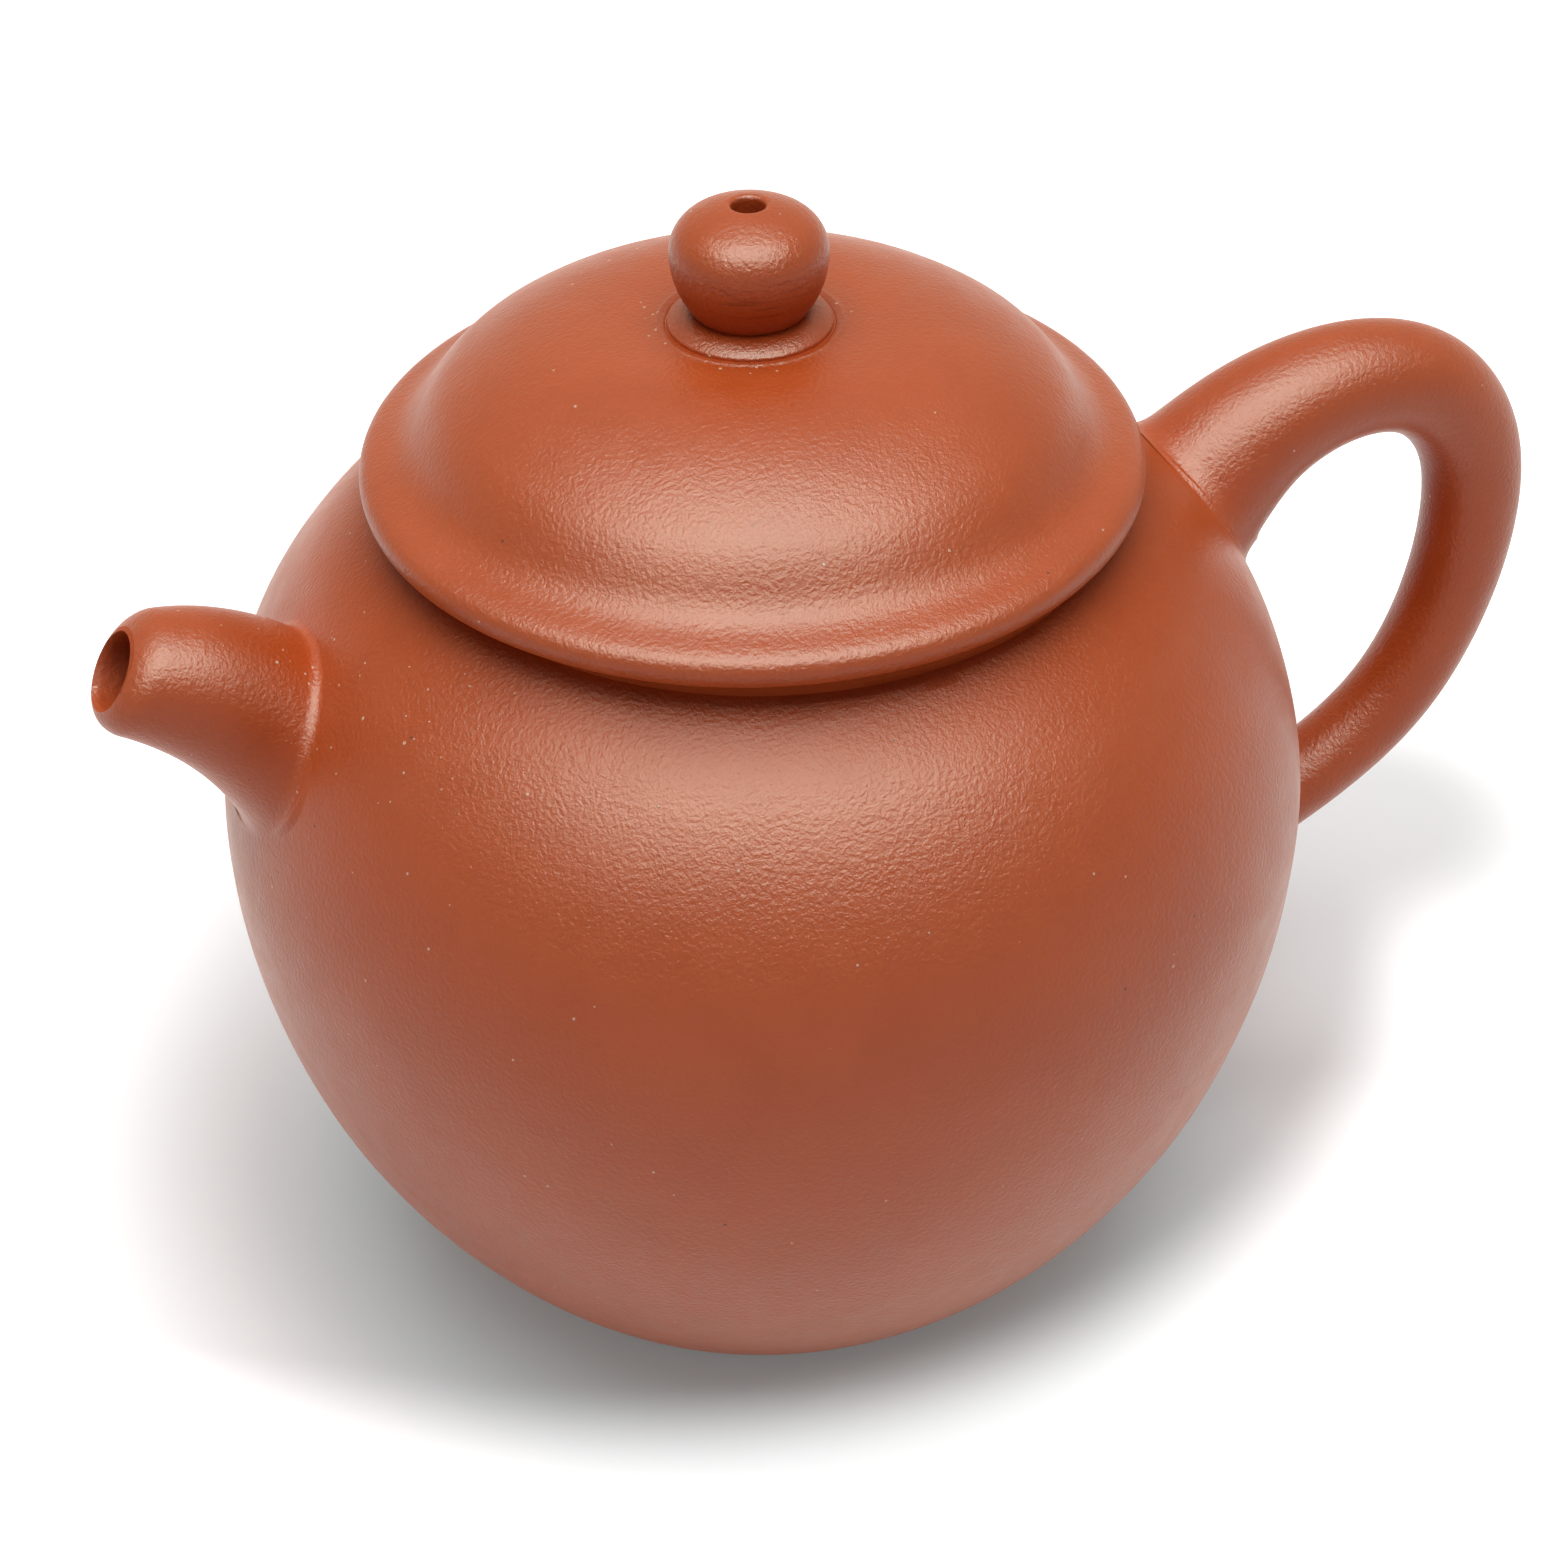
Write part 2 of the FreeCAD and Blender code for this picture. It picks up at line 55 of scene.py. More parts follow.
MOST_TRIM = 0.45

Pair = tuple[float, float]
Triple = tuple[float, float, float]
Colour = Triple
Place = Triple


class Body(Enum):
    """Rigid body that a piece moves with."""

    POT = "pot"
    LID = "lid"


class Turn(Enum):
    """Way in which an arc of an outline turns as it runs on."""

    LEFT = 1
    RIGHT = -1


class Skin(Enum):
    """Material slot of a piece: the burnished outside or the plain inside."""

    OUTSIDE = 0
    INSIDE = 1


class Outline:
    """Half section of a turned piece, drawn as radius and height in millimetres."""

    STEP = 0.4
    SAME = 1e-5
    CORNER_POINTS = 7

    def __init__(self, radius: float, height: float, soft: float = 0.0) -> None:
        """Start the outline.

        Args:
            radius: Distance of the first point from the axis.
            height: Height of the first point.
            soft: Length that the first corner is rounded over, to each side.
        """
        self.first = np.array((radius, height), float)
        self.here = self.first
        self.runs: list[np.ndarray] = []
        self.softness: list[float] = [soft]

    def along(self, points: np.ndarray, soft: float = 0.0) -> "Outline":
        """Follow given points.

        Args:
            points: Rows of radius and height.
            soft: Rounding at the last point.

        Returns:
            The outline itself.
        """
        self.runs.append(points)
        self.softness.append(soft)
        self.here = points[-1]
        return self

    def line(self, radius: float, height: float, soft: float = 0.0) -> "Outline":
        """Run straight to a point.

        Args:
            radius: Distance of the point from the axis.
            height: Height of the point.
            soft: Rounding at the point.

        Returns:
            The outline itself.
        """
        target = np.array((radius, height), float)
        count = int(np.linalg.norm(target - self.here) / self.STEP) + 2
        share = np.linspace(0, 1, count)[:, None]
        return self.along(self.here + share * (target - self.here), soft)

    def arc(self, radius: float, height: float, bend: float, turn: Turn, soft: float = 0.0) -> "Outline":
        """Run along a short arc to a point.

        Args:
            radius: Distance of the point from the axis.
            height: Height of the point.
            bend: Radius of the arc.
            turn: Way in which the arc turns.
            soft: Rounding at the point.

        Returns:
            The outline itself.
        """
        target = np.array((radius, height), float)
        chord = target - self.here
        half = np.linalg.norm(chord) / 2
        square = np.array((-chord[1], chord[0])) / (2 * half)
        centre = (self.here + target) / 2 + turn.value * square * math.sqrt(bend ** 2 - half ** 2)
        start, end = (math.atan2(*(point - centre)[::-1]) for point in (self.here, target))
        sweep = turn.value * ((turn.value * (end - start)) % (2 * math.pi))
        angles = start + sweep * np.linspace(0, 1, int(abs(sweep) * bend / self.STEP) + 3)
        return self.along(centre + bend * np.stack([np.cos(angles), np.sin(angles)], axis=1), soft)

    def close(self) -> "Outline":
        """Run straight back to the first point and return the outline itself."""
        if np.linalg.norm(self.here - self.first) > self.SAME:
            self.line(*self.first)
        self.softness[-1] = self.softness[0]
        return self

    def points(self, closed: bool = True) -> np.ndarray:
        """Work out the outline's points, with its soft corners rounded.

        Args:
            closed: Whether the last corner is also the first one.

        Returns:
            Rows of radius and height.
        """
        soft = list(self.softness)
        if not closed:
            soft[0] = soft[-1] = 0.0
        runs = [trimmed(run, soft[k], soft[k + 1]) for k, run in enumerate(self.runs)]
        share = np.linspace(0, 1, self.CORNER_POINTS)[1:-1, None]
        rows = []
        for k, run in enumerate(runs):
            rows.append(run)
            if soft[k + 1] > 0:
                corner, after = self.runs[k][-1], runs[(k + 1) % len(runs)][0]
                rows.append(rounded(run[-1], corner, after, share))
        loop = np.concatenate(rows)
        apart = np.linalg.norm(np.diff(loop, axis=0), axis=1) > self.SAME
        loop = loop[np.concatenate([[True], apart])]
        if closed and np.linalg.norm(loop[0] - loop[-1]) < self.SAME:
            loop = loop[:-1]
        return loop


def rounded(start: np.ndarray, corner: np.ndarray, end: np.ndarray, share: np.ndarray) -> np.ndarray:
    """Round a corner with a parabola and give the places at shares of the way."""
    return start * (1 - share) ** 2 + corner * 2 * share * (1 - share) + end * share ** 2


def bump(at: np.ndarray, middle: float, width: float) -> np.ndarray:
    """Give the height of a soft bump, 1 at its middle."""
    return np.exp(-((at - middle) / width) ** 2)


def eased(share: np.ndarray) -> np.ndarray:
    """Clip shares to the range from 0 to 1 and ease them in and out."""
    share = np.clip(share, 0, 1)
    return share ** 2 * (3 - 2 * share)


def from_axis(places: np.ndarray) -> np.ndarray:
    """Give the level distance of places from the pot's axis."""
    return np.hypot(places[..., 0], places[..., 1])


def full_turn(count: int) -> np.ndarray:
    """Give evenly spaced angles round a full turn, in radians."""
    return np.linspace(0, 2 * math.pi, count, endpoint=False)


def trimmed(points: np.ndarray, near: float, far: float) -> np.ndarray:
    """Shorten a row of points at both ends.

    Args:
        points: Points along a line.
        near: Length to take off the start.
        far: Length to take off the end.

    Returns:
        The points that are left, with new end points.
    """
    if near <= 0 and far <= 0:
        return points
    length = np.concatenate([[0], np.cumsum(np.linalg.norm(np.diff(points, axis=0), axis=1))])
    most = MOST_TRIM * length[-1]
    near, far = min(near, most), min(far, most)
    kept = (length > near) & (length < length[-1] - far)
    ends = [np.array([np.interp(at, length, points[:, k]) for k in range(points.shape[1])])
            for at in (near, length[-1] - far)]
    return np.concatenate([ends[:1], points[kept], ends[1:]])


def smooth_through(knots: np.ndarray, values: np.ndarray, at: np.ndarray) -> np.ndarray:
    """Follow a natural cubic spline, and its end tangents beyond its ends.

    Args:
        knots: Rising positions of the given values.
        values: One row per knot.
        at: Positions to work out, of any shape.

    Returns:
        Values at the positions, with the columns of values as the last axis.
    """
    step = np.diff(knots)
    count = len(knots)
    system, right = np.eye(count), np.zeros_like(values)
    for k in range(1, count - 1):
        system[k, k - 1:k + 2] = step[k - 1], 2 * (step[k - 1] + step[k]), step[k]
        right[k] = 6 * ((values[k + 1] - values[k]) / step[k] - (values[k] - values[k - 1]) / step[k - 1])
    second = np.linalg.solve(system, right)
    inside = np.clip(at, knots[0], knots[-1])
    span = np.clip(np.searchsorted(knots, inside, side="right") - 1, 0, count - 2)
    low, high = (inside - knots[span])[..., None], (knots[span + 1] - inside)[..., None]
    wide = step[span][..., None]
    first = values[span] / wide - second[span] * wide / 6
    last = values[span + 1] / wide - second[span + 1] * wide / 6
    curve = second[span] * high ** 3 / (6 * wide) + second[span + 1] * low ** 3 / (6 * wide)
    curve = curve + first * high + last * low
    slope = (second[span + 1] * low ** 2 - second[span] * high ** 2) / (2 * wide) - first + last
    return curve + slope * (at - inside)[..., None]


@dataclass(frozen=True)
class Handwork:
    """Slight unevenness of a hand-built wall: a few long waves over the whole pot."""

    depth: float = 0.045
    waves: int = 14
    longest: float = 46.0
    shortest: float = 13.0
    calm_radius: float = 10.0
    seed: int = 5

    def shift(self, points: np.ndarray) -> np.ndarray:
        """Push points in or out along the radius.

        Args:
            points: Places in millimetres, in the last axis.

        Returns:
            The places after the push.
        """
        chance = np.random.default_rng(self.seed)
        ways = chance.normal(size=(self.waves, 3))
        ways *= (2 * math.pi / chance.uniform(self.shortest, self.longest, self.waves)
                 / np.linalg.norm(ways, axis=1))[:, None]
        phase = chance.uniform(0, 2 * math.pi, self.waves)
        height = np.sin(points @ ways.T + phase).sum(axis=-1) * self.depth / math.sqrt(self.waves / 2)
        out = points * np.array((1.0, 1.0, 0.0))
        away = np.linalg.norm(out, axis=-1, keepdims=True)
        calm = np.minimum(away / self.calm_radius, 1.0)
        return points + out / np.maximum(away, 1.0) * height[..., None] * calm


HAND = Handwork()


def turned(outline: np.ndarray, spokes: int) -> np.ndarray:
    """Turn a half section about the axis.

    Args:
        outline: Rows of radius and height.
        spokes: Number of steps round the axis.

    Returns:
        Grid of places: outline point, spoke, coordinate.
    """
    angle = full_turn(spokes)
    grid = np.empty((len(outline), spokes, 3))
    grid[..., 0] = outline[:, :1] * np.cos(angle)
    grid[..., 1] = outline[:, :1] * np.sin(angle)
    grid[..., 2] = outline[:, 1:]
    return grid


def placed(name: str, data: bpy.types.ID) -> bpy.types.Object:
    """Put an object with the given data into the scene and return it."""
    made = bpy.data.objects.new(name, data)
    bpy.context.scene.collection.objects.link(made)
    return made


def grid_piece(name: str, grid: np.ndarray, ring: bool) -> bpy.types.Object:
    """Make an object from a grid of places that closes round its spokes.

    Args:
        name: Name of the piece.
        grid: Places in millimetres: row, spoke, coordinate.
        ring: Whether the last row joins the first; else the end rows close by themselves.

    Returns:
        The new object, in the scene.
    """
    rows, spokes = grid.shape[:2]
    number = np.arange(rows * spokes).reshape(rows, spokes)
    near = number if ring else number[:-1]
    far = np.roll(number, -1, axis=0) if ring else number[1:]
    quads = np.stack([near, np.roll(near, -1, axis=1), np.roll(far, -1, axis=1), far], axis=-1).reshape(-1, 4)
    mesh = bpy.data.meshes.new(name)
    mesh.from_pydata((grid.reshape(-1, 3) * MM).tolist(), [], quads.tolist())
    work = bmesh.new()
    work.from_mesh(mesh)
    bmesh.ops.remove_doubles(work, verts=work.verts, dist=WELD)
    bmesh.ops.recalc_face_normals(work, faces=work.faces)
    work.to_mesh(mesh)
    work.free()
    mesh.shade_smooth()
    mesh.set_sharp_from_angle(angle=CREASE)
    return placed(name, mesh)


def turned_piece(name: str, outline: Outline, spokes: int,
                 move: Callable[[np.ndarray], np.ndarray] = HAND.shift) -> bpy.types.Object:
    """Close a half section, turn it about the axis, move its grid and return the object made of it."""
    return grid_piece(name, move(turned(outline.close().points(), spokes)), ring=True)


def paint(piece: bpy.types.Object, name: str, rule: Callable[[np.ndarray], np.ndarray]) -> None:
    """Store a value from 0 to 1 on each vertex, for a material to read.

    Args:
        piece: Mesh object.
        name: Name of the attribute.
        rule: Gives the values for places in millimetres.
    """
    places = np.empty(len(piece.data.vertices) * 3, np.float32)
    piece.data.vertices.foreach_get("co", places)
    values = np.clip(rule(places.reshape(-1, 3) / MM), 0, 1).astype(np.float32)
    piece.data.attributes.new(name, "FLOAT", "POINT").data.foreach_set("value", values)


def give_inside(piece: bpy.types.Object, rule: Callable[[np.ndarray], np.ndarray]) -> None:
    """Give the faces on the inside of a piece their own finish.

    Args:
        piece: Mesh object.
        rule: Tells for face centres in millimetres whether they lie on the inside.
    """
    count = len(piece.data.polygons)
    centres = np.empty(count * 3, np.float32)
    piece.data.polygons.foreach_get("center", centres)
    inside = rule(centres.reshape(-1, 3) / MM)
    slots = np.where(inside, Skin.INSIDE.value, Skin.OUTSIDE.value).astype(np.int32)
    piece.data.polygons.foreach_set("material_index", slots)


class Graph:
    """Short way to add and join the nodes of one tree."""

    def __init__(self, tree: bpy.types.NodeTree) -> None:
        """Take over a node tree and empty it."""
        self.tree = tree
        tree.nodes.clear()

    def add(self, kind: str, inputs: dict[str | int, object] | None = None,
            **settings: object) -> bpy.types.Node:
        """Add a node.

        Args:
            kind: Blender's name for the node type, without its prefix.
            inputs: Socket name or number to a value, or to an output socket to link from.
            **settings: Properties of the node.

        Returns:
            The new node.
        """
        node = self.tree.nodes.new(f"ShaderNode{kind}")
        for name, setting in settings.items():
            setattr(node, name, setting)
        for name, given in (inputs or {}).items():
            if isinstance(given, bpy.types.NodeSocket):
                self.tree.links.new(given, node.inputs[name])
            else:
                node.inputs[name].default_value = given
        return node

    def math(self, operation: str, *terms: object) -> bpy.types.NodeSocket:
        """Add a sum or comparison of numbers and sockets and return its output."""
        return self.add("Math", dict(enumerate(terms)), operation=operation).outputs[0]

    def mix(self, share: object, first: object, second: object) -> bpy.types.NodeSocket:
        """Add a blend of two colours and return its output."""
        return self.add("Mix", {0: share, 6: first, 7: second}, data_type="RGBA").outputs[2]

    def band(self, source: object, low: float, high: float) -> bpy.types.NodeSocket:
        """Add a smooth step from 0 at low to 1 at high and return its output."""
        return self.add("MapRange", {"Value": source, "From Min": low, "From Max": high},
                        interpolation_type="SMOOTHSTEP").outputs[0]

    def noise(self, place: object, scale: object, detail: float, roughness: float = 0.5,
              distortion: float = 0.0) -> bpy.types.NodeSocket:
        """Add a noise and return its value."""
        inputs = {"Vector": place, "Scale": scale, "Detail": detail, "Roughness": roughness,
                  "Distortion": distortion}
        return self.add("TexNoise", inputs).outputs["Fac"]

    def marked(self, name: str) -> bpy.types.NodeSocket:
        """Read a value that is painted on the vertices and return it."""
        return self.add("Attribute", attribute_name=name).outputs["Fac"]


def new_material(name: str) -> tuple[bpy.types.Material, Graph]:
    """Start a material and return it with its graph."""
    made = bpy.data.materials.new(name)
    made.use_nodes = True
    return made, Graph(made.node_tree)


def new_group(name: str, numbers: tuple[str, ...]) -> tuple[Graph, dict[str, bpy.types.NodeSocket]]:
    """Start a shader node group that takes a place and some numbers.

    Args:
        name: Name of the group.
        numbers: Names of the numbers.

    Returns:
        The group's graph and its input sockets by name.
    """
    tree = bpy.data.node_groups.new(name, "ShaderNodeTree")
    graph = Graph(tree)
    tree.interface.new_socket("Vector", in_out="INPUT", socket_type="NodeSocketVector")
    for label in numbers:
        tree.interface.new_socket(label, in_out="INPUT", socket_type="NodeSocketFloat")
    source = tree.nodes.new("NodeGroupInput")
    return graph, {label: source.outputs[label] for label in ("Vector", *numbers)}


def close_group(graph: Graph, results: dict[str, bpy.types.NodeSocket]) -> bpy.types.NodeTree:
    """Finish a shader node group.

    Args:
        graph: Graph of the group.
        results: Name of each number that it puts out, and the socket that the number comes from.

    Returns:
        The group's tree.
    """
    for label in results:
        graph.tree.interface.new_socket(label, in_out="OUTPUT", socket_type="NodeSocketFloat")
    target = graph.tree.nodes.new("NodeGroupOutput")
    for label, result in results.items():
        graph.tree.links.new(result, target.inputs[label])
    return graph.tree


@dataclass
class ClayGroups:
    """Node groups that the clay finishes share: the grain of the skin and the sand in it.

    Scales are in cells per metre, ratios are to the scale of the grain, and sizes of specks are in cells.
    A noise is given by its detail and roughness, and by its distortion if it has one.
    """

    pebble_noise: Pair = (2.5, 0.55)
    fine_noise: Pair = (2.0, 0.6)
    fine_ratio: float = 2.6
    fine_height: float = 0.3
    swell_noise: Pair = (2.0, 0.5)
    swell_ratio: float = 0.16
    swell_height: float = 0.3
    cloud_noise: Triple = (4.0, 0.6, 0.4)
    cloud_scale: float = 95.0
    cloud_band: Pair = (0.3, 0.7)
    coarse_scale: float = 820.0
    coarse_size: float = 0.12
    coarse_in_grit: float = 0.5
    small_scale: float = 1700.0
    small_size: float = 0.28
    small_in_grit: float = 0.6
    dark_scale: float = 610.0
    dark_size: float = 0.11
    dark_share: float = 0.35
    speck_edge: float = 0.45
    least_speck: float = 0.4

    def __post_init__(self) -> None:
        """Build each group once."""
        self.grain = self.make_grain()
        self.sand = self.make_sand()

    def make_grain(self) -> bpy.types.NodeTree:
        """Build the skin's fine pebbling and its slow change of tone, and return the group."""
        graph, given = new_group("clay_grain", ("Grains per metre",))
        place, scale = given["Vector"], given["Grains per metre"]
        pebble = graph.noise(place, scale, *self.pebble_noise)
        fine = graph.noise(place, graph.math("MULTIPLY", scale, self.fine_ratio), *self.fine_noise)
        swell = graph.noise(place, graph.math("MULTIPLY", scale, self.swell_ratio), *self.swell_noise)
        height = graph.math("MULTIPLY_ADD", fine, self.fine_height, pebble)
        height = graph.math("MULTIPLY_ADD", swell, self.swell_height, height)
        tone = graph.band(graph.noise(place, self.cloud_scale, *self.cloud_noise), *self.cloud_band)
        return close_group(graph, {"Height": height, "Tone": tone, "Polish": swell})

    def make_sand(self) -> bpy.types.NodeTree:
        """Build the masks of pale and dark specks of sand, and return the group."""
        graph, given = new_group("clay_sand", ("Share", "Grit"))
        place, share, grit = given.values()
        held = graph.math("MULTIPLY_ADD", grit, self.coarse_in_grit, share)
        coarse = self.specks(graph, place, self.coarse_scale, held, self.coarse_size)
        held = graph.math("MULTIPLY", grit, self.small_in_grit)
        small = self.specks(graph, place, self.small_scale, held, self.small_size)
        held = graph.math("MULTIPLY", share, self.dark_share)
        dark = self.specks(graph, place, self.dark_scale, held, self.dark_size)
        return close_group(graph, {"Pale": graph.math("MAXIMUM", coarse, small), "Dark": dark})

    def specks(self, graph: Graph, place: object, scale: float, share: object,
               size: float) -> bpy.types.NodeSocket:
        """Add specks of one kind.

        Args:
            graph: Tree to add them to.
            place: Coordinates socket.
            scale: Cells per metre.
            share: Share of the cells that hold a speck.
            size: Largest radius of a speck, in cells.

        Returns:
            Mask socket.
        """
        cells = graph.add("TexVoronoi", {"Vector": place, "Scale": scale})
        chance = graph.add("SeparateColor", {"Color": cells.outputs["Color"]})
        held = graph.math("LESS_THAN", chance.outputs["Red"], share)
        least = self.least_speck * size
        reach = graph.math("MULTIPLY_ADD", chance.outputs["Green"], size - least, least)
        near = graph.math("SUBTRACT", 1.0, graph.math("DIVIDE", cells.outputs["Distance"], reach))
        return graph.math("MULTIPLY", held, graph.band(near, 0.0, self.speck_edge))


@dataclass(frozen=True)
class ClayFinish:
    """One finish of the fired clay, from its colours to the depth of its grain in millimetres."""

    name: str
    light: Colour
    deep: Colour
    pale_sand: Colour = (0.78, 0.50, 0.34)
    pale_cover: float = 0.75
    dark_sand: Colour = (0.07, 0.025, 0.015)
    dark_cover: float = 0.7
    # Colour that painted shade and the knob's burnishing streaks darken the clay towards.
    darkening: Colour = (0.17, 0.022, 0.006)
    streak_stretch: Triple = (0.07, 0.07, 1.0)
    streak_scale: float = 3800.0
    streak_detail: float = 2.0
    streak_band: Pair = (0.5, 0.68)
    roughness: float = 0.33
    roughness_range: float = 0.16
    specular: float = 0.36
    # How strongly painted shade dulls the gloss; least_gloss is the share of the gloss that stays.
    dulling: float = 3.3
    least_gloss: float = 0.15
    grain_depth: float = 0.075
    grains_per_metre: float = 3000.0
    sand_share: float = 0.13
    sand_height: float = 0.5

    def material(self, groups: ClayGroups) -> bpy.types.Material:
        """Build the finish.

        Args:
            groups: Node groups that all finishes share.

        Returns:
            The new material.
        """
        made, graph = new_material(self.name)
        place = graph.add("TexCoord").outputs["Object"]
        # Painted shade round the neck, under the knob and at the spout's root: it darkens the colour and
        # dulls the gloss.
        painted_shade = graph.marked("painted_shade")
        grain = graph.add("Group", {"Vector": place, "Grains per metre": self.grains_per_metre},
                          node_tree=groups.grain).outputs
        sand = graph.add("Group", {"Vector": place, "Share": self.sand_share, "Grit": graph.marked("grit")},
                         node_tree=groups.sand).outputs
        stretched = graph.add("VectorMath", {0: place, 1: self.streak_stretch}, operation="MULTIPLY")
        streaks = graph.noise(stretched.outputs[0], self.streak_scale, self.streak_detail)
        marks = graph.math("MULTIPLY", graph.band(streaks, *self.streak_band), graph.marked("streak"))
        colour = graph.mix(grain["Tone"], (*self.deep, 1), (*self.light, 1))
        for share, tint in ((graph.math("MAXIMUM", painted_shade, marks), self.darkening),
                            (graph.math("MULTIPLY", sand["Pale"], self.pale_cover), self.pale_sand),
                            (graph.math("MULTIPLY", sand["Dark"], self.dark_cover), self.dark_sand)):
            colour = graph.mix(share, colour, (*tint, 1))
        rough = graph.math("MULTIPLY_ADD", grain["Polish"], self.roughness_range,
                           self.roughness - self.roughness_range / 2)
        height = graph.math("MULTIPLY_ADD", sand["Pale"], self.sand_height, grain["Height"])
        relief = graph.add("Bump", {"Height": height, "Distance": self.grain_depth * MM, "Strength": 1.0})
        dulled = graph.math("MULTIPLY_ADD", painted_shade, -self.dulling * self.specular, self.specular)
        gloss = graph.math("MAXIMUM", dulled, self.least_gloss * self.specular)
        shader = graph.add("BsdfPrincipled", {"Base Color": colour, "Roughness": rough,
                                              "Specular IOR Level": gloss, "Normal": relief.outputs[0]})
        graph.add("OutputMaterial", {"Surface": shader.outputs[0]})
        return made


@dataclass
class Dressing:
    """The clay finishes of the pot, and the way that a piece is handed over in them."""

    groups: ClayGroups = field(default_factory=ClayGroups)
    burnished: ClayFinish = ClayFinish(
        "burnished_red_clay", light=(0.490, 0.080, 0.014), deep=(0.455, 0.070, 0.011))
    plain: ClayFinish = ClayFinish(
        "plain_red_clay", light=(0.460, 0.072, 0.013), deep=(0.400, 0.058, 0.010), roughness=0.6,
        specular=0.15, grain_depth=0.09, grains_per_metre=1900.0, sand_share=0.3)

    def __post_init__(self) -> None:
        """Build the materials."""
        self.skins = [finish.material(self.groups) for finish in (self.burnished, self.plain)]

    def hand_over(self, piece: bpy.types.Object, body: Body, node: str) -> None:
        """Dress a piece and let it stand for its CAD node.

        Args:
            piece: Finished mesh object.
            body: Body that it moves with.
            node: CAD node that it replaces.
        """
        for skin in self.skins:
            piece.data.materials.append(skin)
        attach(piece, body.value)
        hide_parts(node)
        LOG.info("%s: %d faces, moves with the %s", piece.name, len(piece.data.polygons), body.value)


@dataclass(frozen=True)
class Globe:
    """Outside of the pot: one arc below the belly and one above it, tangent where they meet."""

    belly_radius: float = 40.25
    belly_height: float = 39.6
    foot_radius: float = 22.6
    neck_radius: float = 25.5
    shoulder_top: float = 65.9
    wall: float = 3.0
    base_seam: float = 4.5
    shoulder_seam: float = 60.5
    highest: float = 66.5

    @property
    def low_bend(self) -> float:
        """Radius of the arc below the belly."""
        narrow = self.belly_radius - self.foot_radius
        return (narrow ** 2 + self.belly_height ** 2) / (2 * narrow)

    @property
    def high_bend(self) -> float:
        """Radius of the arc above the belly."""
        narrow = self.belly_radius - self.neck_radius
        return (narrow ** 2 + (self.shoulder_top - self.belly_height) ** 2) / (2 * narrow)

    @property
    def neck_bottom(self) -> float:
        """Height at which the neck meets the inside of the shoulder."""
        across = self.neck_radius - self.belly_radius + self.high_bend
        return self.belly_height + math.sqrt((self.high_bend - self.wall) ** 2 - across ** 2)

    def radius(self, height: np.ndarray | float, inset: float = 0.0) -> np.ndarray:
        """Work out the radius of the outside, or of a surface within it.

        Args:
            height: Heights above the foot.
            inset: Distance of the surface inside the outside.

        Returns:
            Radii at the heights.
        """
        rise = np.asarray(height, float) - self.belly_height
        bend = np.where(rise > 0, self.high_bend, self.low_bend)
        return self.belly_radius - bend + np.sqrt(np.maximum((bend - inset) ** 2 - rise ** 2, 0))

    def run(self, start: float, end: float, inset: float = 0.0) -> np.ndarray:
        """Sample the outline, or one inset from it, between two heights, as rows of radius and height."""
        height = np.linspace(start, end, int(abs(end - start) / Outline.STEP) + 3)
        return np.stack([self.radius(height, inset), height], axis=1)

    def outside(self, places: np.ndarray) -> np.ndarray:
        """Tell how far places lie outside the pot, measured level, in millimetres."""
        return from_axis(places) - self.radius(np.clip(places[..., 2], 0, self.highest))

    def normal(self, places: np.ndarray) -> np.ndarray:
        """Give the way straight out of the pot's outside at places near it."""
        rise = places[..., 2] - self.belly_height
        away = from_axis(places)
        level = away - self.belly_radius + np.where(rise > 0, self.high_bend, self.low_bend)
        way = np.stack([places[..., 0] / away * level, places[..., 1] / away * level, rise], axis=-1)
        return way / np.linalg.norm(way, axis=-1, keepdims=True)

    def onto(self, places: np.ndarray, sink: float) -> np.ndarray:
        """Move places level to a depth below the outside and return them."""
        share = (self.radius(places[..., 2]) - sink) / from_axis(places)
        return places * np.stack([share, share, np.ones_like(share)], axis=-1)


GLOBE = Globe()


@dataclass(frozen=True)
class Lute:
    """Seam of slip round the root of a tube: a small fillet with a ridge that differs round the tube.

    Its ridges and wider stretches are bumps, given by place and width in degrees, and height.
    """

    on_pot: float
    on_tube: float
    ridges: tuple[Triple, ...]
    wider: tuple[Triple, ...] = ()
    rows: int = 32
    crest: float = 0.27
    spread: float = 0.12
    sink: float = 0.025

    @staticmethod
    def around(angle: np.ndarray, bumps: tuple[Triple, ...]) -> np.ndarray:
        """Add up soft bumps round the tube.

        Args:
            angle: Angles in radians.
            bumps: Place and width of each bump in degrees, and its height.

        Returns:
            Heights at the angles.
        """
        total = np.zeros_like(angle)
        for place, width, height in bumps:
            apart = (np.degrees(angle) - place + 180) % 360 - 180
            total += height * bump(apart, 0, width)
        return total


